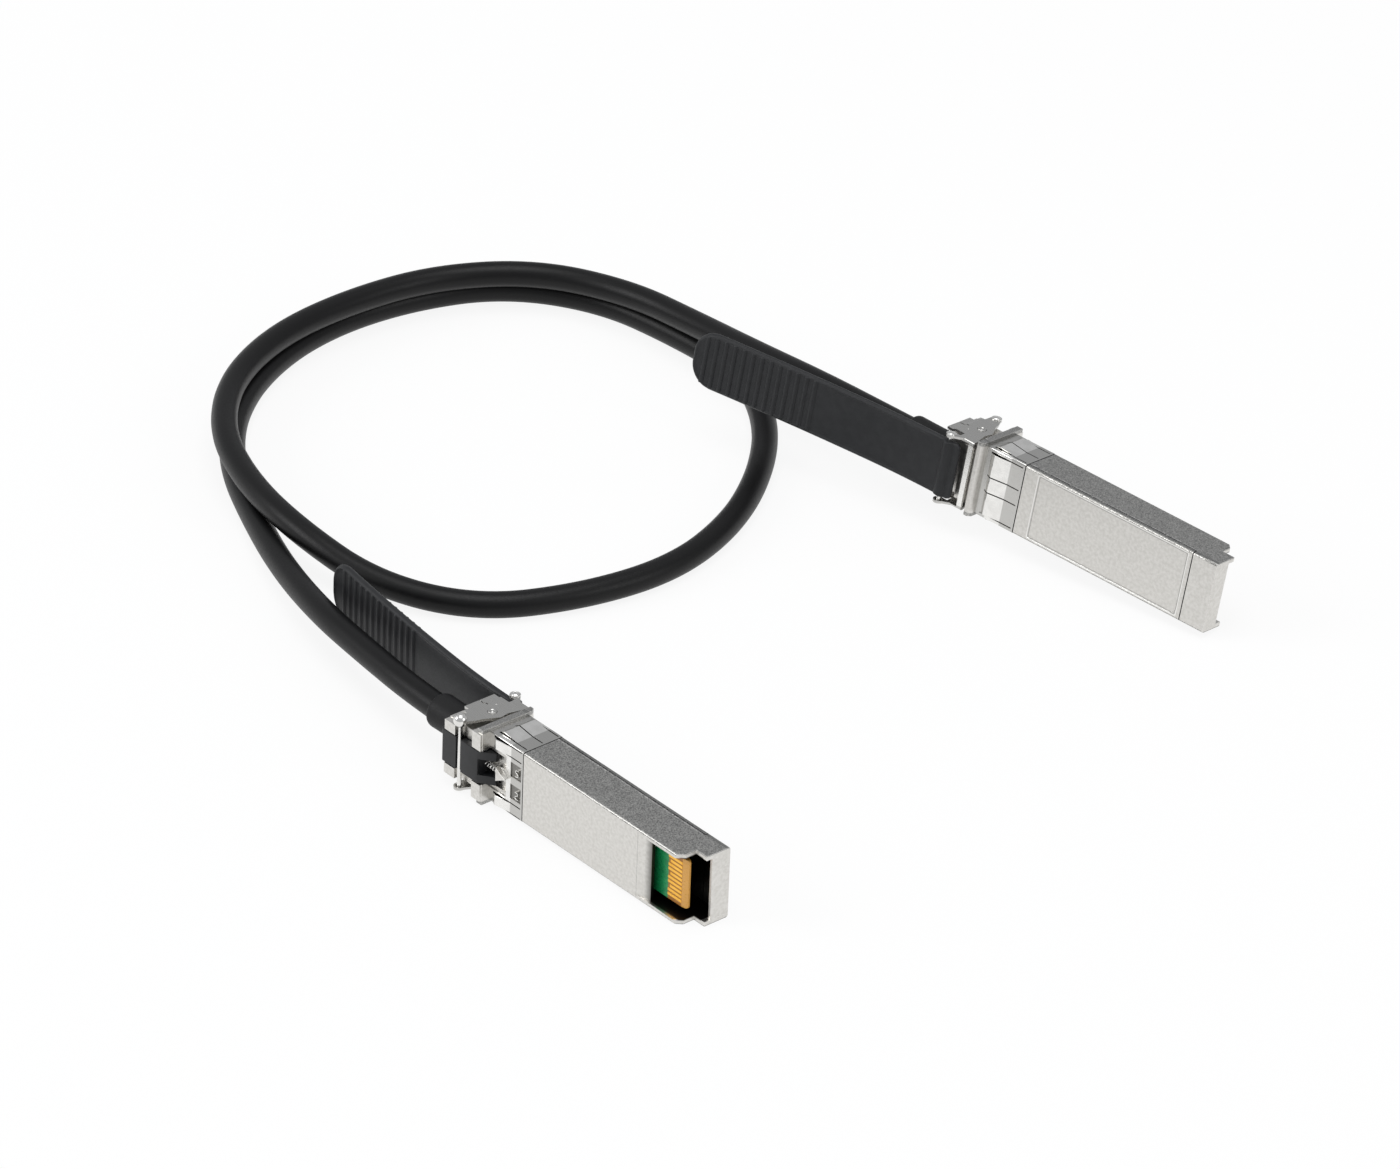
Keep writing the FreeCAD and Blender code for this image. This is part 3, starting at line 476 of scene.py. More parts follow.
@dataclass(frozen=True)
class Finish:
    """A material with its grain, slow variation of colour and uneven gloss."""

    name: str
    slot: str
    colour: str
    variation: str
    metallic: float
    roughness: float
    roughness_spread: float
    grain: Grain
    grain_width: float
    grain_height: float
    patch_width: float = 1.6
    specular: float = 0.5
    middle_half: tuple = (0.35, 0.65)
    gloss_range: tuple = (0.3, 0.7)

    def spot(self, tree: Tree, plug: PlugFrame) -> Spot:
        """Read the place and the noises at each point.

        Args:
            tree: Tree of the material.
            plug: Plug in whose millimetres the grain is laid.

        Returns:
            The readings.
        """
        point = plug.coordinates(tree)
        inputs = {0: point, 1: self.grain.value}
        stretched = add(tree, "ShaderNodeVectorMath", inputs, operation="MULTIPLY").outputs[0]
        fine = {"Vector": stretched, "Scale": 1.0 / self.grain_width, "Detail": 4.0, "Roughness": 0.6}
        slow = {"Vector": point, "Scale": 1.0 / self.patch_width, "Detail": 3.0}
        axes = add(tree, "ShaderNodeSeparateXYZ", {0: point}).outputs
        noises = [add(tree, "ShaderNodeTexNoise", inputs).outputs["Fac"] for inputs in (fine, slow)]
        return Spot(*(Reading(tree, socket) for socket in (axes["X"], axes["Y"], axes["Z"], *noises)))

    def build(self, plug: PlugFrame) -> Material:
        """Make the material for one plug.

        Args:
            plug: Plug in whose millimetres the grain is laid.

        Returns:
            The material.
        """
        material = bpy.data.materials.new(f"{self.name}_{plug.tag}")
        material.use_nodes = True
        tree = material.node_tree
        tree.nodes.clear()
        spot = self.spot(tree, plug)
        low, high = self.roughness - self.roughness_spread, self.roughness + self.roughness_spread
        bump = add(tree, "ShaderNodeBump", {"Height": self.relief(spot), "Strength": 1.0,
                                            "Distance": self.grain_height * MM})
        shader = add(tree, "ShaderNodeBsdfPrincipled", {
            "Base Color": self.colours(spot), "Metallic": self.metallic,
            "Roughness": spot.grain.fade(*self.gloss_range, low, high),
            "Specular IOR Level": self.specular, "Normal": bump.outputs["Normal"]})
        add(tree, "ShaderNodeOutputMaterial", {"Surface": shader.outputs["BSDF"]})
        return material

    def colours(self, spot: Spot) -> Socket:
        """Blend the two colours of the finish in slow patches."""
        return spot.patches.fade(*self.middle_half).blend(self.colour, self.variation)

    def relief(self, spot: Spot) -> Reading:
        """Height of the surface's relief, which is its plain grain."""
        return spot.grain


@dataclass(frozen=True)
class CastShell(Finish):
    """Nickel-plated zinc casting: satin broad faces, sandy darker sides, tight dark joints, painted highlights and
    shade lines, painted shade inside.
    """

    side_colour: str = "#C3C2BF"
    side_speck: str = "#7E7E7C"
    joint_and_border_shade_colour: str = "#17171A"
    # Colour of the painted highlights on the glint, the recess's outer line and the edges.
    painted_highlight_colour: str = "#F4F3F0"
    # Colour of the painted shade inside the shell.
    inside_shade_colour: str = "#3A3835"
    # Where the narrow sides start across the plug, and where their finish is full.
    side: tuple = (6.45, 6.62)
    side_depth: tuple = (0.22, 1.0)
    speck: tuple = (0.38, 0.62)
    # The joint between the halves, with a painted highlight line below it and the cover's rim above it.
    seam: tuple = (7.48, 7.7)
    seam_grain: tuple = (0.36, 0.5)
    glint: tuple = (7.18, 7.4)
    glint_share: float = 0.7
    rim: tuple = (7.6, 8.38)
    rim_share: float = 0.6
    cover: tuple = (0.1, 37.0)
    # Joints across the plug: at the cover's front, at the collar and before the mouth.
    cover_gap: tuple = (36.92, 37.12)
    collar_gap: tuple = (-0.2, 0.2)
    ramp_line: tuple = (29.15, 29.24)
    ramp_share: float = 0.4
    latch_face: tuple = (-1.0, 0.2)
    # Painted shade line along the borders of the broad faces, beside the edge highlight, which the grain breaks.
    border: tuple = (6.34, 6.5)
    border_length: tuple = (0.1, 42.0)
    border_grain: tuple = (0.40, 0.52)
    border_shade_share: float = 0.7
    narrow: tuple = (0.12, 8.38)
    # Label recess: rear, front and half width, with a painted shade line inside and a painted highlight line
    # outside.
    recess: tuple = (3.2, 36.0, 6.0)
    recess_blend: float = 0.5
    recess_shade: tuple = (-0.24, -0.02)
    shade_share: float = 0.45
    recess_light: tuple = (-0.02, 0.2)
    label_face: tuple = (8.2, 9.0)
    # Painted shade: the board space, the core under the collar, and the latch channel with its two windows.
    cavity: tuple = (0.0, 41.3, 0.1)
    cavity_height: tuple = (0.5, 7.75, 0.2)
    cavity_reach: tuple = (-FAR, 6.0, 0.1)
    core: tuple = (-8.55, 0.0)
    channel: tuple = (-9.0, -0.2)
    channel_height: tuple = (-2.0, 1.3)
    channel_reach: tuple = (-FAR, 4.2)
    window: tuple = (-3.4, -0.2)
    window_share: float = 0.72
    # Painted highlight along the outer edges: reach of the rounding that finds them, the limits of the fade, and its
    # share.
    edge_reach: float = 0.13
    edge_agreement: tuple = (0.99, 0.9)
    edge_highlight_share: float = 0.75

    def sides(self, spot: Spot) -> Reading:
        """Share with 1 on the narrow sides."""
        return spot.reach.fade(*self.side, steps="SMOOTHSTEP")

    def joints(self, spot: Spot) -> Reading:
        """Find the dark joints, and the painted shade line along the borders.

        Args:
            spot: Readings at each point.

        Returns:
            Share with 1 on a joint.
        """
        seam = spot.z.between(*self.seam) * spot.reach.between(self.side[0], FAR)
        seam = seam * spot.x.between(*self.cover) * spot.grain.fade(*self.seam_grain)
        front = spot.x.between(*self.cover_gap) * spot.z.between(self.rim[0], FAR)
        ramp = spot.x.between(*self.ramp_line) * spot.z.between(*self.latch_face) * self.ramp_share
        broad = spot.z.between(*self.narrow).fade(0.0, 1.0, 1.0, 0.0)
        # The border line is painted shade beside the bright edge.
        border = spot.reach.between(*self.border) * broad * spot.grain.fade(*self.border_grain)
        border = border * spot.x.between(*self.border_length) * self.border_shade_share
        return seam | front | spot.x.between(*self.collar_gap) | ramp | border

    def recess_edge(self, spot: Spot) -> Reading:
        """Distance from the outline of the label recess, on the label face.

        Args:
            spot: Readings at each point.

        Returns:
            The distance, which is negative inside the recess.
        """
        rear, front, half = self.recess
        beyond = abs(spot.x - (rear + front) / 2.0) - (front - rear) / 2.0
        return beyond.sum("SMOOTH_MAX", spot.reach - half, self.recess_blend)

    def inside(self, spot: Spot) -> Reading:
        """Find where shade is painted inside: the board space, and the core under the collar.

        Args:
            spot: Readings at each point.

        Returns:
            Share with 1 where the painted shade is full.
        """
        nose = spot.z.between(*self.cavity_height) * spot.reach.between(*self.cavity_reach)
        nose = nose * spot.x.between(*self.cavity)
        channel = spot.z.between(*self.channel_height) * spot.reach.between(*self.channel_reach)
        channel = channel * spot.x.between(*self.channel)
        core = (spot.x.between(*self.core) - channel) | 0.0
        return nose | core | channel * spot.x.between(*self.window) * self.window_share

    def edges(self, spot: Spot) -> Reading:
        """Find the outer edges, where a highlight is painted.

        Args:
            spot: Readings at each point.

        Returns:
            Share with 1 on an edge.
        """
        tree = spot.x.tree
        rounded = add(tree, "ShaderNodeBevel", {"Radius": self.edge_reach * MM}, samples=6).outputs["Normal"]
        true = add(tree, "ShaderNodeNewGeometry").outputs["Normal"]
        agree = add(tree, "ShaderNodeVectorMath", {0: rounded, 1: true}, operation="DOT_PRODUCT")
        return Reading(tree, agree.outputs["Value"]).fade(*self.edge_agreement)

    def colours(self, spot: Spot) -> Socket:
        """Lay the faces, and over them the sides, the painted highlight and shade lines, the painted edge
        highlights, the painted shade inside, and the joints.

        Args:
            spot: Readings at each point.

        Returns:
            Socket with the colour.
        """
        speck, sides = spot.grain.fade(*self.speck), self.sides(spot)
        distance, label = self.recess_edge(spot), spot.z.between(*self.label_face)
        glint = spot.z.between(*self.glint) * sides * speck * spot.x.between(*self.cover)
        colour = sides.blend(super().colours(spot), speck.blend(self.side_speck, self.side_colour))
        # The glint, the recess's outer line and the edges are painted highlights; the recess's inner line, the
        # inside and the border line among the joints are painted shade.
        for share, strength, layer in (
                (glint, self.glint_share, self.painted_highlight_colour),
                (spot.z.between(*self.rim) * sides, self.rim_share, self.side_speck),
                (label * distance.between(*self.recess_light), 1.0, self.painted_highlight_colour),
                (label * distance.between(*self.recess_shade), self.shade_share, self.side_speck),
                (self.edges(spot), self.edge_highlight_share, self.painted_highlight_colour),
                (self.inside(spot), 1.0, self.inside_shade_colour),
                (self.joints(spot), 1.0, self.joint_and_border_shade_colour)):
            colour = (share * strength).blend(colour, layer)
        return colour

    def relief(self, spot: Spot) -> Reading:
        """Grain that is deep and sandy on the sides and faint on the faces."""
        return spot.grain * self.sides(spot).fade(0.0, 1.0, *self.side_depth)


@dataclass(frozen=True)
class CollarStrip(Finish):
    """Tinned strip with a painted highlight on the slopes of its bowed fingers, and darker flats."""

    # The darker flats and the painted highlight on the finger slopes, with the span of the highlight along the plug
    # and its soft width.
    flat_colour: str = "#C3C2BF"
    bright: tuple = (-6.35, -3.0, 0.08)

    def colours(self, spot: Spot) -> Socket:
        """Painted highlight on the slopes between darker flats."""
        return spot.x.between(*self.bright).blend(self.flat_colour, super().colours(spot))


@dataclass(frozen=True)
class LeverSheet(Finish):
    """Stamped steel with a painted highlight on its cross plate, against darker side plates."""

    # Darker side plates, and their reach and soft width; the cross plate between them carries the painted highlight.
    plate_colour: str = "#C3C2BF"
    plate: tuple = (5.9, 6.9, 0.08)

    def colours(self, spot: Spot) -> Socket:
        """Painted highlight on the cross plate between darker side plates."""
        return spot.reach.between(*self.plate).blend(super().colours(spot), self.plate_colour)


@dataclass(frozen=True)
class BoardLaminate(Finish):
    """Glass laminate under green solder mask, bare between the contacts and at the bevelled nose."""

    gap_colour: str = "#A5691B"
    nose_colour: str = "#D9A04A"
    mask_end: float = 34.45
    nose_start: float = 37.8
    limit: float = 0.05
    lane_pitch: float = 0.8
    lane: tuple = (0.2, 0.6)
    weave: float = 0.15

    def colours(self, spot: Spot) -> Socket:
        """Green mask, then the bare core between the contacts, then the bevelled nose."""
        bare = spot.x.between(self.nose_start, FAR, self.limit).blend(self.gap_colour, self.nose_colour)
        return spot.x.between(self.mask_end, FAR, self.limit).blend(super().colours(spot), bare)

    def relief(self, spot: Spot) -> Reading:
        """Copper tracks under the mask, one to each contact, over the weave."""
        wave = (spot.y * (2.0 * math.pi / self.lane_pitch)).sum("SINE")
        return spot.grain.sum("MULTIPLY_ADD", self.weave, wave.fade(*self.lane, steps="SMOOTHSTEP"))


# Every finish of a plug, each with the record's material slot that it stands for.
FINISHES = (
    # Satin nickel over zinc: a soft grey sheen, sandy where the mould was not polished.
    CastShell("nickel_plated_zinc", "cast_shell", "#DFDDD9", "#D2D0CB", 1.0, 0.36, 0.08,
              Grain.CAST, 0.20, 0.045, 0.6),
    # Tinned copper alloy strip: bright, with faint rolling lines along the plug.
    CollarStrip("tinned_spring_strip", "collar_sheet", "#F3F2EF", "#E9E8E5", 1.0, 0.24, 0.03,
                Grain.ROLLED, 0.35, 0.002),
    # Stamped stainless steel: satin and bright, with faint rolling lines.
    LeverSheet("stainless_stamping", "lever_sheet", "#F8F7F4", "#F0EFEC", 1.0, 0.27, 0.04,
               Grain.ROLLED, 0.40, 0.001),
    # Turned and tumbled steel pin: nearly polished.
    Finish("tumbled_steel", "pin_steel", "#EDECE9", "#E2E1DE", 1.0, 0.17, 0.02, Grain.CAST, 0.4, 0.0003),
    # Acetal with carbon black: even black with a soft shine.
    Finish("black_acetal", "slider_plastic", "#18191B", "#1D1E20", 0.0, 0.34, 0.05,
           Grain.MOULDED, 0.25, 0.004, specular=0.35),
    # Music wire: bright drawn surface.
    Finish("music_wire", "spring_wire", "#F0EFEC", "#E6E5E2", 1.0, 0.18, 0.04, Grain.CAST, 0.4, 0.002),
    # Thermoplastic elastomer from a spark-eroded mould: matte dark grey-black with a fine even grain.
    Finish("elastomer_moulding", "tab_rubber", "#202123", "#252628", 0.0, 0.50, 0.06,
           Grain.MOULDED, 0.28, 0.010, specular=0.35),
    # Solder mask on glass laminate: glossy green over faintly raised tracks.
    BoardLaminate("masked_laminate", "board_laminate", "#1C9658", "#16804A", 0.0, 0.30, 0.05,
                  Grain.CAST, 0.35, 0.020),
    # Hard gold over nickel: deep yellow and smooth.
    Finish("hard_gold", "contact_gold", "#FFC75A", "#F8BC4C", 1.0, 0.30, 0.05, Grain.ROLLED, 0.1, 0.001),
    # Moulded epoxy of small parts: flat charcoal.
    Finish("epoxy_package", "chip_black", "#222224", "#2B2B2D", 0.0, 0.62, 0.05, Grain.MOULDED, 0.1, 0.006),
    # Foamed polyolefin over the wires: milky white.
    Finish("foamed_polyolefin", "wire_insulation", "#DAD9D2", "#CFCEC8", 0.0, 0.45, 0.05,
           Grain.MOULDED, 0.3, 0.003),
    # Drawn brass: warm and satin.
    Finish("drawn_brass", "ferrule_brass", "#C9A86A", "#B8975B", 1.0, 0.34, 0.05, Grain.ROLLED, 0.12, 0.003),
    # Vulcanised rubber sleeve: matte black.
    Finish("rubber_sleeve", "boot_rubber", "#0E0E0F", "#121213", 0.0, 0.55, 0.06, Grain.MOULDED, 0.3, 0.012,
           specular=0.3),
    # Extruded flexible PVC: black with a soft sheen and a faint pull along its length.
    Finish("extruded_vinyl", "cable_sheath", "#0A0A0B", "#0C0C0D", 0.0, 0.42, 0.05,
           Grain.MOULDED, 0.40, 0.008, 9.0, specular=0.26),
)


# -------------------- hard pieces


@dataclass
class RigidPart:
    """A stamped, cast or moulded part with its sharp edges broken as tumbling or a mould leaves them."""

    plug: PlugFrame
    name: str
    slot: str
    body: str
    edge: float
    sharp: float = 38.0
    flat: float = 0.5
    merge: float = 0.002
    steps: int = 2

    def build(self, nodes: dict) -> Piece:
        """Copy the part's solid, break its edges and dress it.

        Args:
            nodes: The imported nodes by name.

        Returns:
            The new piece, which stands for the node.
        """
        node = self.plug.node(self.name)
        mesh = nodes[node].data.copy()
        form = bmesh.new()
        form.from_mesh(mesh)
        bmesh.ops.remove_doubles(form, verts=form.verts, dist=self.merge * MM)
        bmesh.ops.dissolve_limit(form, angle_limit=math.radians(self.flat), verts=form.verts, edges=form.edges)
        limit = math.radians(self.sharp)
        edges = [edge for edge in form.edges if edge.is_manifold and edge.calc_face_angle(0.0) > limit]
        round_edges(form, edges, self.edge * MM, self.steps)
        fill_mesh(form, mesh, sharp=self.sharp, outward=False)
        piece = mesh_object(f"finished_{node}", mesh, self.plug.finishes[self.slot])
        piece.modifiers.new("even_shading", "WEIGHTED_NORMAL").keep_sharp = True
        plain_mesh(piece)
        return settle(piece, self.body, node)


@dataclass
class NoseWall:
    """Front wall of the hood, which closes the label side of the nose over the board's mouth."""

    plug: PlugFrame
    rear: float = 41.5
    front: float = 42.17
    half_width: float = 5.95
    bottom: float = 4.8
    top: float = 7.7
    rounding: float = 0.12
    steps: int = 4

    def build(self) -> Piece:
        """Make the wall with its lower edges rounded.

        Returns:
            The new piece.
        """
        middle = Vector((self.rear + self.front, 0.0, self.bottom + self.top)) / 2.0
        size = Matrix.Diagonal((self.front - self.rear, self.half_width * 2.0, self.top - self.bottom, 1.0))
        form = bmesh.new()
        bmesh.ops.create_cube(form, size=1.0, matrix=Matrix.Translation(middle) @ size)
        low = [edge for edge in form.edges if all(corner.co.z < middle.z for corner in edge.verts)]
        round_edges(form, low, self.rounding, self.steps)
        form.transform(self.plug.matrix)
        mesh = bpy.data.meshes.new("nose_wall")
        fill_mesh(form, mesh, smooth=False)
        piece = mesh_object(self.plug.node("nose_wall"), mesh, self.plug.finishes["cast_shell"])
        return settle(piece, ROOT_BODY)


@dataclass
class HeadedPin:
    """Steel pin with a low head at each end, one of which may be a ball."""

    plug: PlugFrame
    name: str
    x: float
    z: float
    ball: float = 0.0
    sunk: float = 0.15
    shank: float = 0.4
    reach: float = 6.62
    dome: tuple = (0.34, 0.72)
    dome_angles: range = range(0, 91, 10)
    ball_angles: range = range(0, 154, 9)
    # Rolled ring under a low head: distance past the reach, and radius.
    ring: tuple = ((0.04, 0.74), (0.11, 0.84), (0.1, 0.93), (0.02, 0.96), (-0.06, 0.92), (-0.1, 0.52),
                   (-0.6, 0.4))
    segments: int = 40

    def low_head(self) -> Outline:
        """Outline of a low head on its rolled ring."""
        ring = [(self.reach + past, radius) for past, radius in self.ring]
        return arc((self.reach, 0.0), self.dome, self.dome_angles) + ring

    def ball_head(self) -> Outline:
        """Outline of a ball head."""
        centre = self.reach - self.sunk
        ball = arc((centre, 0.0), (self.ball, self.ball), self.ball_angles)
        return ball + [(centre - self.ball, self.shank)]

    def build(self) -> Piece:
        """Turn the pin and seat it in the lever.

        Returns:
            The new piece, which stands for the node.
        """
        far = self.ball_head() if self.ball else self.low_head()
        outline = self.low_head() + [(-across, radius) for across, radius in far[::-1]]
        node = self.plug.node(self.name)
        piece = Turning(self.plug, f"finished_{node}", Axis.ACROSS, (self.x, 0.0, self.z), outline,
                        self.segments).build(self.plug.finishes["pin_steel"])
        return settle(piece, f"lever_{self.plug.tag}", node)


@dataclass
class PivotRing:
    """Peened end of a pivot stud: a raised ring round a small dimple, and a stamping dimple beside it."""

    plug: PlugFrame
    face: float = 6.6
    segments: int = 32
    # Each outline gives height over the plate's face, and radius.
    stud: tuple = (-13.2, 0.0, 4.25)
    stud_outline: tuple = ((0.16, 0.0), (0.14, 0.14), (0.06, 0.26), (0.02, 0.34), (0.04, 0.42), (0.14, 0.5),
                           (0.17, 0.6), (0.14, 0.72), (0.05, 0.78), (-0.1, 0.8))
    pip: tuple = (-14.6, 0.0, 6.3)
    pip_outline: tuple = ((0.09, 0.0), (0.07, 0.1), (0.02, 0.19), (-0.05, 0.22))

    def build(self) -> list[Piece]:
        """Make both rings and both dimples, one on each plate.

        Returns:
            The new pieces.
        """
        forms = (("stud_end", self.stud, self.stud_outline, ROOT_BODY, "cast_shell"),
                 ("stamping_pip", self.pip, self.pip_outline, f"lever_{self.plug.tag}", "lever_sheet"))
        pieces = []
        for side, label in SIDES.items():
            for name, centre, outline, body, slot in forms:
                points = [((self.face + high) * side, radius) for high, radius in outline]
                piece = Turning(self.plug, self.plug.node(f"{name}_{label}"), Axis.ACROSS, centre, points,
                                self.segments).build(self.plug.finishes["lever_sheet"])
                pieces.append(settle(piece, body))
        return pieces


@dataclass
class CollarSpring:
    """Small folded contact in a window of the collar: strip bent to an S that shows its edge."""

    plug: PlugFrame
    side: int
    centre: tuple = (-1.15, 2.15)
    low: float = -0.3
    deep: float = 0.75
    strip: float = 0.16
    fold: float = 0.03
    bend: tuple = ((0.42, 0.62), (0.02, 0.66), (-0.34, 0.44), (-0.30, 0.12), (0.26, -0.14), (0.32, -0.46),
                   (0.0, -0.66), (-0.42, -0.62))

    def build(self) -> Piece:
        """Extrude the S through the depth of the window and give it its thickness.

        Returns:
            The new piece.
        """
        form = bmesh.new()
        skin(form, [[form.verts.new(self.plug.place(self.centre[0] + x, (self.centre[1] + y) * self.side, z))
                     for z in (self.low, self.low + self.deep)] for x, y in self.bend])
        mesh = bpy.data.meshes.new("collar_spring")
        fill_mesh(form, mesh, smooth=False)
        name = self.plug.node(f"collar_spring_{SIDES[self.side]}")
        piece = mesh_object(name, mesh, self.plug.finishes["spring_wire"])
        thickness = piece.modifiers.new("strip", "SOLIDIFY")
        thickness.thickness = self.strip * MM
        thickness.offset = 0.0
        folds = piece.modifiers.new("folds", "BEVEL")
        folds.width = self.fold * MM
        folds.segments = 2
        folds.limit_method = "ANGLE"
        plain_mesh(piece)
        return settle(piece, ROOT_BODY)


@dataclass
class ReturnSpring:
    """Coil spring between the slider and the island of the latch boss, made by a node tree."""

    plug: PlugFrame
    start: float = -9.4
    end: float = -6.2
    axis_z: float = 0.2
    radius: float = 0.45
    wire: float = 0.1
    turns: float = 4.5
    turn_steps: int = 20
    wire_steps: int = 10
    closed: float = 0.33

    def build(self) -> Piece:
        """Write the coil's tree, run it and lay the coil along the plug.

        Returns:
            The new piece, which stands for the node.
        """
        node = self.plug.node("return_spring")
        form = FormTree(self.plug.node("return_spring_coil"), {
            "Length": self.end - self.start - self.wire * 2.0, "Radius": self.radius,
            "Wire radius": self.wire, "Turns": self.turns})
        coil = form.add("GeometryNodeCurveSpiral", {
            "Resolution": self.turn_steps, "Rotations": form.size("Turns"), "Height": form.size("Length"),
            "Start Radius": form.size("Radius"), "End Radius": form.size("Radius")})
        section = form.add("GeometryNodeCurvePrimitiveCircle",
                           {"Resolution": self.wire_steps, "Radius": form.size("Wire radius")})
        tube = form.add("GeometryNodeCurveToMesh", {"Curve": coil, "Profile Curve": section, "Fill Caps": True})
        lay = (self.plug.matrix @ Matrix.Translation((self.start + self.wire, 0.0, self.axis_z))
               @ Matrix.Rotation(math.radians(90.0), 4, "Y"))
        piece = form.run(tube, f"finished_{node}", self.plug.finishes["spring_wire"], lay)
        settle(piece, ROOT_BODY, node)
        axis = self.plug.matrix.to_3x3() @ Vector((1.0, 0.0, 0.0))
        tuple(self.plug.place(self.end, 0.0, self.axis_z))
        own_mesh(piece)
        return piece


@dataclass
class HardParts:
    """The metal, board and slider of one plug: solids with broken edges, springs and plain dressed nodes."""

    plug: PlugFrame
    nodes: dict

    def build(self) -> list[Piece]:
        """Make the finished pieces and dress the nodes that stay as they are.

        Returns:
            The new pieces.
        """
        plug, tag = self.plug, self.plug.tag
        solids = (
            RigidPart(plug, "shell_base", "cast_shell", ROOT_BODY, 0.10),
            RigidPart(plug, "shell_cover", "cast_shell", ROOT_BODY, 0.09),
            RigidPart(plug, "emi_collar", "collar_sheet", ROOT_BODY, 0.03),
            RigidPart(plug, "latch_lever", "lever_sheet", f"lever_{tag}", 0.07),
            RigidPart(plug, "release_slider", "slider_plastic", f"slider_{tag}", 0.12),
            RigidPart(plug, "circuit_board", "board_laminate", ROOT_BODY, 0.03),
        )
        small = (*(CollarSpring(plug, side) for side in SIDES), ReturnSpring(plug),
                 HeadedPin(plug, "cross_pin", -14.4, -1.5, 1.22), HeadedPin(plug, "tab_pin", -15.0, 10.6))
        pieces = [solid.build(self.nodes) for solid in solids] + [part.build() for part in small]
        pieces += [*PivotRing(plug).build(), NoseWall(plug).build()]
        plain = {"contact_pads": "contact_gold", "board_parts": "chip_black",
                 "twinax_wires": "wire_insulation", "crimp_ferrule": "ferrule_brass"}
        for name, slot in plain.items():
            for place in self.nodes[plug.node(name)].material_slots:
                place.material = plug.finishes[slot]
        return pieces


# -------------------- soft pieces


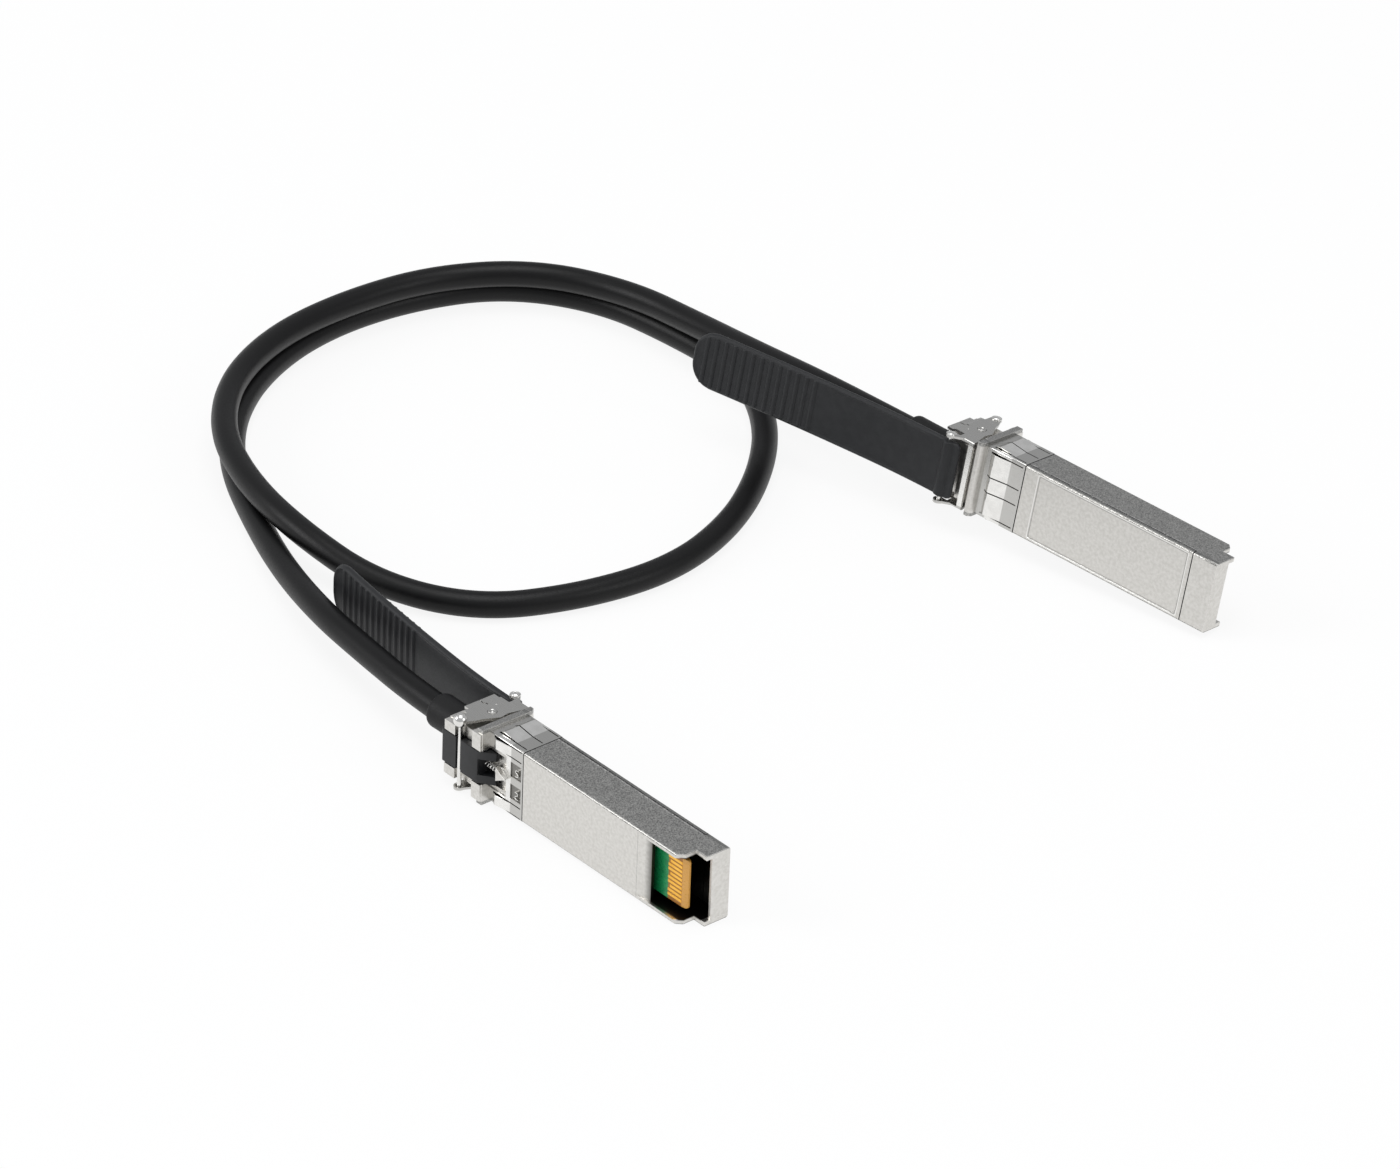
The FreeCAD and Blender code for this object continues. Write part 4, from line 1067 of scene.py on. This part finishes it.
@dataclass
class PullTab:
    """Moulded strap that pulls the lever: rolled front over its pin, two easy bends and a ribbed grip."""

    plug: PlugFrame
    sweep_length: float
    pin_x: float = -15.0
    pin_z: float = 10.6
    half_width: float = 5.4
    half_thickness: float = 0.55
    front: float = -2.5
    front_heights: tuple = (0.5, 0.3)
    front_edge: float = 0.3
    level: float = 1.0
    bend_radius: float = 164.45
    bend_angle: float = math.radians(5.2)
    sweep_radius: float = 559.45
    corner: float = 4.4
    front_corner: float = 1.1
    edge: float = 0.42
    eye: float = 1.2
    # Raised rim along the outline: its height, middle, spread and start, and how soon it is full.
    rim_height: float = 0.13
    rim_inset: float = 0.5
    rim_spread: float = 0.2
    rim_start: float = 3.0
    rim_growth: float = 2.0
    rib_start: float = 12.1
    rib_pitch: float = 1.88
    rib_count: int = 13
    rib_length: float = 1.2
    rib_rise: float = 0.26
    rib_width: float = 10.0
    rib_rounding: float = 0.46
    rib_taper: float = 0.4
    rib_margin: float = 0.45
    rib_power: float = 9.0
    rib_steps: int = 33
    rib_corner_steps: int = 6
    # Steps of the drawn strap, closest together at its edges.
    near_ends: tuple = (0.0, 0.02, 0.07, 0.15, 0.26, 0.4, 0.6, 0.85, 1.2, 1.6)
    near_tip: tuple = (2.1, 2.6, 3.1)
    past_eye: tuple = (1.35, 1.6)
    near_sides: tuple = (0.0, 0.015, 0.06, 0.13, 0.21, 0.3, 0.4, 0.5, 0.6, 0.75, 0.95)
    inner_shares: tuple = (0.75, 0.5, 0.25)
    eye_angles: range = range(-90, 91, 10)
    run: tuple = (2.0, 0.5, 5.5)

    @property
    def bend_length(self) -> float:
        """Length of the first bend."""
        return self.bend_radius * self.bend_angle

    @property
    def length(self) -> float:
        """Length of the strap from its pin."""
        return self.level + self.bend_length + self.sweep_length

    def middle(self, along: float) -> tuple[Vector, Vector]:
        """Point and normal of the strap's middle sheet.

        Args:
            along: Distance from the pin.

        Returns:
            The point and the unit normal, in the plug's millimetres.
        """
        if along <= self.level:
            return Vector((self.pin_x - along, 0.0, self.pin_z)), Vector((0.0, 0.0, 1.0))
        centre = Vector((self.pin_x - self.level, 0.0, self.pin_z + self.bend_radius))
        radius, angle = self.bend_radius, (along - self.level) / self.bend_radius
        if angle > self.bend_angle:
            angle = self.bend_angle + (along - self.level - self.bend_length) / self.sweep_radius
            radius = self.sweep_radius
            outward = Vector((math.sin(self.bend_angle), 0.0, math.cos(self.bend_angle)))
            centre += outward * (self.sweep_radius - self.bend_radius)
        normal = Vector((math.sin(angle), 0.0, math.cos(angle)))
        return centre - normal * radius, normal

    def corners_at(self, along: float) -> tuple[tuple[float, float], ...]:
        """How far a station lies past the start of each end's corners, with their radius."""
        return ((along - self.length + self.corner, self.corner),
                (self.front + self.front_corner - along, self.front_corner))

    def width_at(self, along: float) -> float:
        """Half the strap's width.

        Args:
            along: Distance from the pin.

        Returns:
            Half the width there, which shrinks round the corners.
        """
        for past, radius in self.corners_at(along):
            if past > 0.0:
                return self.half_width - radius + math.sqrt(max(radius ** 2 - past ** 2, 0.0))
        return self.half_width

    def inset(self, along: float, across: float) -> float:
        """Distance from the strap's outline.

        Args:
            along: Distance from the pin.
            across: Distance from the middle line.

        Returns:
            How far inside the outline the point lies.
        """
        for past, radius in self.corners_at(along):
            beside = abs(across) - (self.half_width - radius)
            if past > 0.0 and beside > 0.0:
                return radius - math.hypot(past, beside)
        return min(self.half_width - abs(across), self.length - along, along - self.front)

    def heights(self, along: float, across: float) -> tuple[float, float]:
        """Height of both faces over the middle sheet.

        Args:
            along: Distance from the pin.
            across: Distance from the middle line.

        Returns:
            Heights of the upper and the lower face; the lower is negative.
        """
        upper = lower = self.half_thickness
        if along < 0.0:
            upper, lower = self.front_heights
        if abs(along) < self.eye:
            roll = math.sqrt(self.eye ** 2 - along ** 2)
            upper, lower = max(upper, roll), max(lower, roll)
        inset = max(self.inset(along, across), 0.0)
        if along > self.rim_start:
            growth = min((along - self.rim_start) / self.rim_growth, 1.0)
            lip = self.rim_height * math.exp(-((inset - self.rim_inset) / self.rim_spread) ** 2) * growth
            upper, lower = upper + lip, lower + lip
        edge = self.front_edge if along < 0.0 else self.edge
        rounded = math.sqrt(max(1.0 - (1.0 - min(inset / edge, 1.0)) ** 2, 0.0))
        return upper * rounded, -lower * rounded

    def stations(self) -> list[float]:
        """Distances from the pin at which the strap is drawn, closer together at both ends and on the eye."""
        start, step, ends = self.run
        front = [self.front + offset for offset in self.near_ends]
        eye = [self.eye * math.sin(math.radians(angle)) for angle in self.eye_angles]
        run = [start + step * number for number in range(int((self.length - ends) / step))]
        tip = [self.length - offset for offset in self.near_ends + self.near_tip]
        return sorted([*front, *eye, *self.past_eye, *run, *tip])

    def columns(self, half_width: float) -> list[float]:
        """Distances from the middle line at which the strap is drawn.

        Args:
            half_width: Half the width at this station.

        Returns:
            The distances, from edge to edge.
        """
        rim = [half_width - offset for offset in self.near_sides]
        half = rim + [rim[-1] * share for share in self.inner_shares]
        return [-value for value in half] + [0.0] + half[::-1]

    def strap(self, material: Material) -> Piece:
        """Make the strap's mesh from its two faces.

        Args:
            material: Finish of the strap.

        Returns:
            The strap.
        """
        form = bmesh.new()
        sheets = ([], [])
        for along in self.stations():
            point, normal = self.middle(along)
            columns = self.columns(self.width_at(along))
            for face, sheet in enumerate(sheets):
                places = [point + normal * self.heights(along, across)[face] + Vector((0.0, across, 0.0))
                          for across in columns]
                sheet.append([form.verts.new(self.plug.matrix @ place) for place in places])
        for sheet in sheets:
            skin(form, sheet)
        bmesh.ops.remove_doubles(form, verts=form.verts, dist=MERGE * MM)
        mesh = bpy.data.meshes.new("strap")
        fill_mesh(form, mesh)
        return mesh_object(f"finished_{self.plug.node('pull_tab')}", mesh, material)

    def rib_form(self, start: float) -> FormTree:
        """Start the tree of the ribs, the first of which lies at a distance from the pin."""
        return FormTree(self.plug.node("grip_ribs"), {
            "Pitch angle": self.rib_pitch / self.sweep_radius, "Radius": self.sweep_radius,
            "Width": self.rib_width, "Length": self.rib_length,
            "Height": (self.half_thickness + self.rib_rise) * 2.0,
            "Rounding": self.rib_length * self.rib_rounding, "Taper": self.rib_taper,
            "Corner start": self.length - self.corner - start, "Corner radius": self.corner,
            "Corner inset": self.half_width - self.corner - self.rib_margin, "Count": self.rib_count})

    def rib(self, form: FormTree) -> Socket:
        """Make one rounded rib that is lower at its ends.

        Args:
            form: Tree of the ribs.

        Returns:
            Socket with the rib.
        """
        outline = form.add("GeometryNodeCurvePrimitiveQuadrilateral",
                           {"Width": form.size("Length"), "Height": form.size("Height")})
        rounded = {"Curve": outline, "Radius": form.size("Rounding"), "Count": self.rib_corner_steps}
        section = form.add("GeometryNodeFilletCurve", rounded, mode="POLY")
        first, last = (form.add("ShaderNodeCombineXYZ", {"Z": form.size("Width") * half}) for half in (-0.5, 0.5))
        line = form.add("GeometryNodeCurvePrimitiveLine", {"Start": first, "End": last})
        fine = form.add("GeometryNodeResampleCurve", {"Curve": line, "Count": self.rib_steps})
        spread = abs(form.reading("GeometryNodeSplineParameter").sum("MULTIPLY_ADD", 2.0, -1.0))
        shrink = spread.sum("POWER", self.rib_power) * form.size("Taper")
        shaped = form.add("GeometryNodeSetCurveRadius", {"Curve": fine, "Radius": shrink.fade(0.0, 1.0, 1.0, 0.0)})
        return form.add("GeometryNodeCurveToMesh", {"Curve": shaped, "Profile Curve": section, "Fill Caps": True})

    def ribs(self, material: Material) -> Piece:
        """Set the ribs along the sweep, narrower round the tip's corners, and lay them through the strap.

        Args:
            material: Finish of the ribs.

        Returns:
            The ribs as one piece.
        """
        start = self.level + self.bend_length + self.rib_start + self.rib_length / 2.0
        form = self.rib_form(start)
        radius = form.size("Radius")
        angle = form.reading("GeometryNodeInputIndex") * form.size("Pitch angle")
        spot = form.add("ShaderNodeCombineXYZ", {"X": angle.sum("SINE") * radius, "Y": angle.sum("COSINE") * radius})
        points = form.add("GeometryNodePoints", {"Count": form.size("Count")})
        placed = form.add("GeometryNodeSetPosition", {"Geometry": points, "Position": spot})
        past = (angle * radius - form.size("Corner start")) | 0.0
        kept = (form.size("Corner radius").sum("POWER", 2.0) - past * past).sum("SQRT") + form.size("Corner inset")
        narrow = kept.sum("DIVIDE", form.size("Width") * 0.5).sum("MINIMUM", 1.0)
        copies = form.add("GeometryNodeInstanceOnPoints", {
            "Points": placed, "Instance": self.rib(form),
            "Rotation": form.add("ShaderNodeCombineXYZ", {"Z": angle * -1.0}),
            "Scale": form.add("ShaderNodeCombineXYZ", {"X": 1.0, "Y": 1.0, "Z": narrow})})
        point, normal = self.middle(start)
        tangent = Vector((-normal.z, 0.0, normal.x))
        turn = Matrix((tangent, -normal, tangent.cross(-normal))).transposed().to_4x4()
        centre = Matrix.Translation(point + normal * self.sweep_radius)
        return form.run(copies, self.plug.node("grip_ribs"), material, self.plug.matrix @ centre @ turn)

    def build(self) -> list[Piece]:
        """Make the strap, which stands for the node, and its ribs, and fix both to the tab's body."""
        body, slot = f"tab_{self.plug.tag}", "tab_rubber"
        return [settle(self.strap(self.plug.finishes[slot]), body, self.plug.node("pull_tab")),
                settle(self.ribs(self.plug.finishes[slot]), body)]


@dataclass
class CableBoot:
    """Rubber sleeve at the cable's exit, turned about the cable with rounded rims and a soft waist."""

    plug: PlugFrame
    axis_z: float = 4.6
    bore: float = 2.42
    outer: float = 3.13
    start: float = -18.0
    end: float = -27.3
    segments: int = 72
    # Distances of the waist from both ends, its depth and its steps.
    waist: tuple = (0.12, 0.83)
    waist_depth: float = 0.05
    waist_steps: int = 24
    rim: tuple = (0.8, 0.42)
    rim_angles: range = range(105, 181, 15)
    front_edge: float = 0.1
    mouth: tuple = ((0.02, 0.12), (0.15, 0.0))

    def profile(self) -> Outline:
        """Closed outline of the sleeve as x and radius, from the bore round the rims."""
        first, last = self.start - self.waist[0], self.end + self.waist[1]
        shares = [step / self.waist_steps for step in range(self.waist_steps + 1)]
        outside = [(first + (last - first) * share, self.outer - self.waist_depth * math.sin(math.pi * share))
                   for share in shares]
        rim = arc((self.end + self.rim[0], self.outer - self.rim[1]), self.rim, self.rim_angles)
        mouth = [(self.end + along, self.bore + high) for along, high in self.mouth]
        return [(self.start, self.bore), (self.start, self.outer - self.front_edge), *outside, *rim, *mouth]

    def build(self) -> Piece:
        """Turn the outline about the cable.

        Returns:
            The new piece, which stands for the node.
        """
        node = self.plug.node("cable_boot")
        piece = Turning(self.plug, f"finished_{node}", Axis.ALONG, (0.0, 0.0, self.axis_z), self.profile(),
                        self.segments, closed=True).build(self.plug.finishes["boot_rubber"])
        return settle(piece, ROOT_BODY, node)


@dataclass
class Cable:
    """Round cable from plug to plug, in one and a half loops on the table."""

    plugs: dict
    diameter: float = 4.7
    length: float = 0.638
    axis_z: float = 4.6
    inner_end: float = -16.0
    outer_end: float = -32.0
    round_steps: int = 10
    run_steps: int = 14
    route: tuple = (
        (-43.7, 53.8, 12.6), (-61.7, 54.0, 10.9), (-80.2, 55.8, 8.3), (-98.7, 55.3, 7.2),
        (-115.7, 47.2, 6.9), (-125.4, 31.3, 6.8), (-127.3, 12.8, 7.0), (-124.8, -5.5, 7.3),
        (-116.7, -22.2, 7.3), (-103.1, -34.9, 7.3), (-86.1, -42.2, 7.3), (-67.9, -45.5, 7.1),
        (-50.0, -42.5, 3.4), (-34.1, -32.8, 2.4), (-26.3, -15.7, 2.4), (-24.0, 2.8, 2.4),
        (-29.5, 20.4, 2.4), (-39.7, 35.9, 2.4), (-52.8, 48.9, 2.4), (-69.3, 57.7, 2.4),
        (-87.9, 57.6, 2.4), (-106.2, 55.2, 2.4), (-121.7, 44.5, 2.4), (-128.3, 27.0, 2.4),
        (-129.0, 8.5, 2.4), (-123.5, -9.2, 2.4), (-113.0, -24.5, 2.4), (-98.6, -36.0, 2.4),
        (-81.8, -43.9, 2.4), (-63.4, -51.9, 3.7), (-44.2, -58.5, 6.1), (-28.2, -61.2, 6.7),
    )

    def build(self) -> Piece:
        """Lay the cable as one smooth curve.

        Returns:
            The cable, which stands for the node.
        """
        ends = [[self.plugs[tag].place(x, 0.0, self.axis_z) for x in (self.inner_end, self.outer_end)]
                for tag in ("b", "a")]
        points = ends[0] + [Vector(point) * MM for point in self.route] + ends[1][::-1]
        curve = bpy.data.curves.new("cable", "CURVE")
        curve.dimensions = "3D"
        curve.bevel_depth = self.diameter / 2.0 * MM
        curve.bevel_resolution = self.round_steps
        curve.resolution_u = self.run_steps
        curve.use_fill_caps = True
        spline = curve.splines.new("NURBS")
        spline.points.add(len(points) - 1)
        for place, point in zip(spline.points, points):
            place.co = (*point, 1.0)
        spline.order_u = 3
        spline.use_endpoint_u = True
        curve.materials.append(self.plugs["a"].finishes["cable_sheath"])
        cable = bpy.data.objects.new("cable", curve)
        bpy.context.scene.collection.objects.link(cable)
        settle(cable, ROOT_BODY, "cable_jacket")
        self.length
        self.diameter * MM
        return cable


# -------------------- studio


def stand_at(name: str, data: bpy.types.ID, place: tuple, aim: tuple, roll: float = 0.0) -> Piece:
    """Put a lamp or a camera in the scene and turn it to a point.

    Args:
        name: Name of the new object.
        data: The lamp or the camera.
        place: Where it stands.
        aim: Point that it faces.
        roll: Turn about its own axis, in degrees.

    Returns:
        The new object.
    """
    stand = bpy.data.objects.new(name, data)
    stand.location = place
    stand.rotation_mode = "QUATERNION"
    turn = (Vector(aim) - Vector(place)).to_track_quat("-Z", "Y")
    stand.rotation_quaternion = turn @ Quaternion((0.0, 0.0, 1.0), math.radians(roll))
    bpy.context.scene.collection.objects.link(stand)
    return stand


@dataclass
class Studio:
    """Pale table, soft lamps and the camera."""

    floor_colour: str = "#F6F6F6"
    floor_half: float = 2.5
    floor_white: float = 0.88
    world_colour: str = "#B6B7B9"
    camera_place: tuple = (0.9084, -0.8115, 0.7228)
    camera_aim: tuple = (-0.0122, -0.0016, 0.0062)
    camera_roll: float = 1.8235
    camera_reach: tuple = (0.1, 20.0)
    focal_length: float = 213.6
    sensor_width: float = 36.0
    # Square lamps, all aimed at the middle of the table: name, place, size and power.
    lamps: tuple = (("overhead", (0.1, -0.1, 1.6), 1.1, 11.0),
                    ("window_left", (-1.0, -1.3, 0.9), 0.9, 11.0),
                    ("window_right", (1.4, 0.5, 0.8), 0.7, 4.0))

    def floor_material(self) -> Material:
        """White table that shows white to the camera and in reflections, and keeps the shadows.

        Returns:
            The material.
        """
        material = bpy.data.materials.new("white_table")
        material.use_nodes = True
        tree = material.node_tree
        tree.nodes.clear()
        path = add(tree, "ShaderNodeLightPath").outputs
        seen = Reading(tree, path["Is Camera Ray"]) | Reading(tree, path["Is Glossy Ray"])
        matte = add(tree, "ShaderNodeBsdfDiffuse", {"Color": hex_colour(self.floor_colour)}).outputs[0]
        white = add(tree, "ShaderNodeEmission", {"Strength": 1.0}).outputs[0]
        both = add(tree, "ShaderNodeMixShader", {0: seen * self.floor_white, 1: matte, 2: white}).outputs[0]
        add(tree, "ShaderNodeOutputMaterial", {"Surface": both})
        return material

    def build(self) -> None:
        """Set up the table, the lamps, the world and the camera."""
        half = self.floor_half
        mesh = bpy.data.meshes.new("table")
        mesh.from_pydata([(-half, -half, 0.0), (half, -half, 0.0), (half, half, 0.0), (-half, half, 0.0)],
                         [], [(0, 1, 2, 3)])
        mesh_object("table", mesh, self.floor_material())
        for name, place, size, power in self.lamps:
            lamp = bpy.data.lights.new(name, "AREA")
            lamp.shape, lamp.size, lamp.energy = "SQUARE", size, power
            stand_at(name, lamp, place, (0.0, 0.0, 0.0))
        scene = bpy.context.scene
        scene.world = bpy.data.worlds.new("studio")
        scene.world.use_nodes = True
        background = scene.world.node_tree.nodes["Background"].inputs
        background["Color"].default_value = hex_colour(self.world_colour)
        background["Strength"].default_value = 1.0
        scene.view_settings.view_transform = "Standard"
        camera = bpy.data.cameras.new("camera")
        camera.lens = self.focal_length
        camera.sensor_width = self.sensor_width
        camera.clip_start, camera.clip_end = self.camera_reach
        scene.camera = stand_at("camera", camera, self.camera_place, self.camera_aim, self.camera_roll)


# -------------------- main


def main() -> None:
    """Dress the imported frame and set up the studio."""
    logging.basicConfig(level=logging.INFO, format="%(name)s: %(message)s")
    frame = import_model()
    plugs = {tag: PlugFrame.of(tag, frame["record"]) for tag in TAGS}
    Studio().build()
    pieces = [Cable(plugs).build()]
    for tag, plug in plugs.items():
        pieces += HardParts(plug, frame["nodes"]).build()
        pieces += PullTab(plug, TAB_SWEEP[tag]).build()
        pieces.append(CableBoot(plug).build())
    for piece in pieces:
        LOG.info("%s: %s", piece.name, piece.type.lower())


if __name__ == "__main__":
    main()
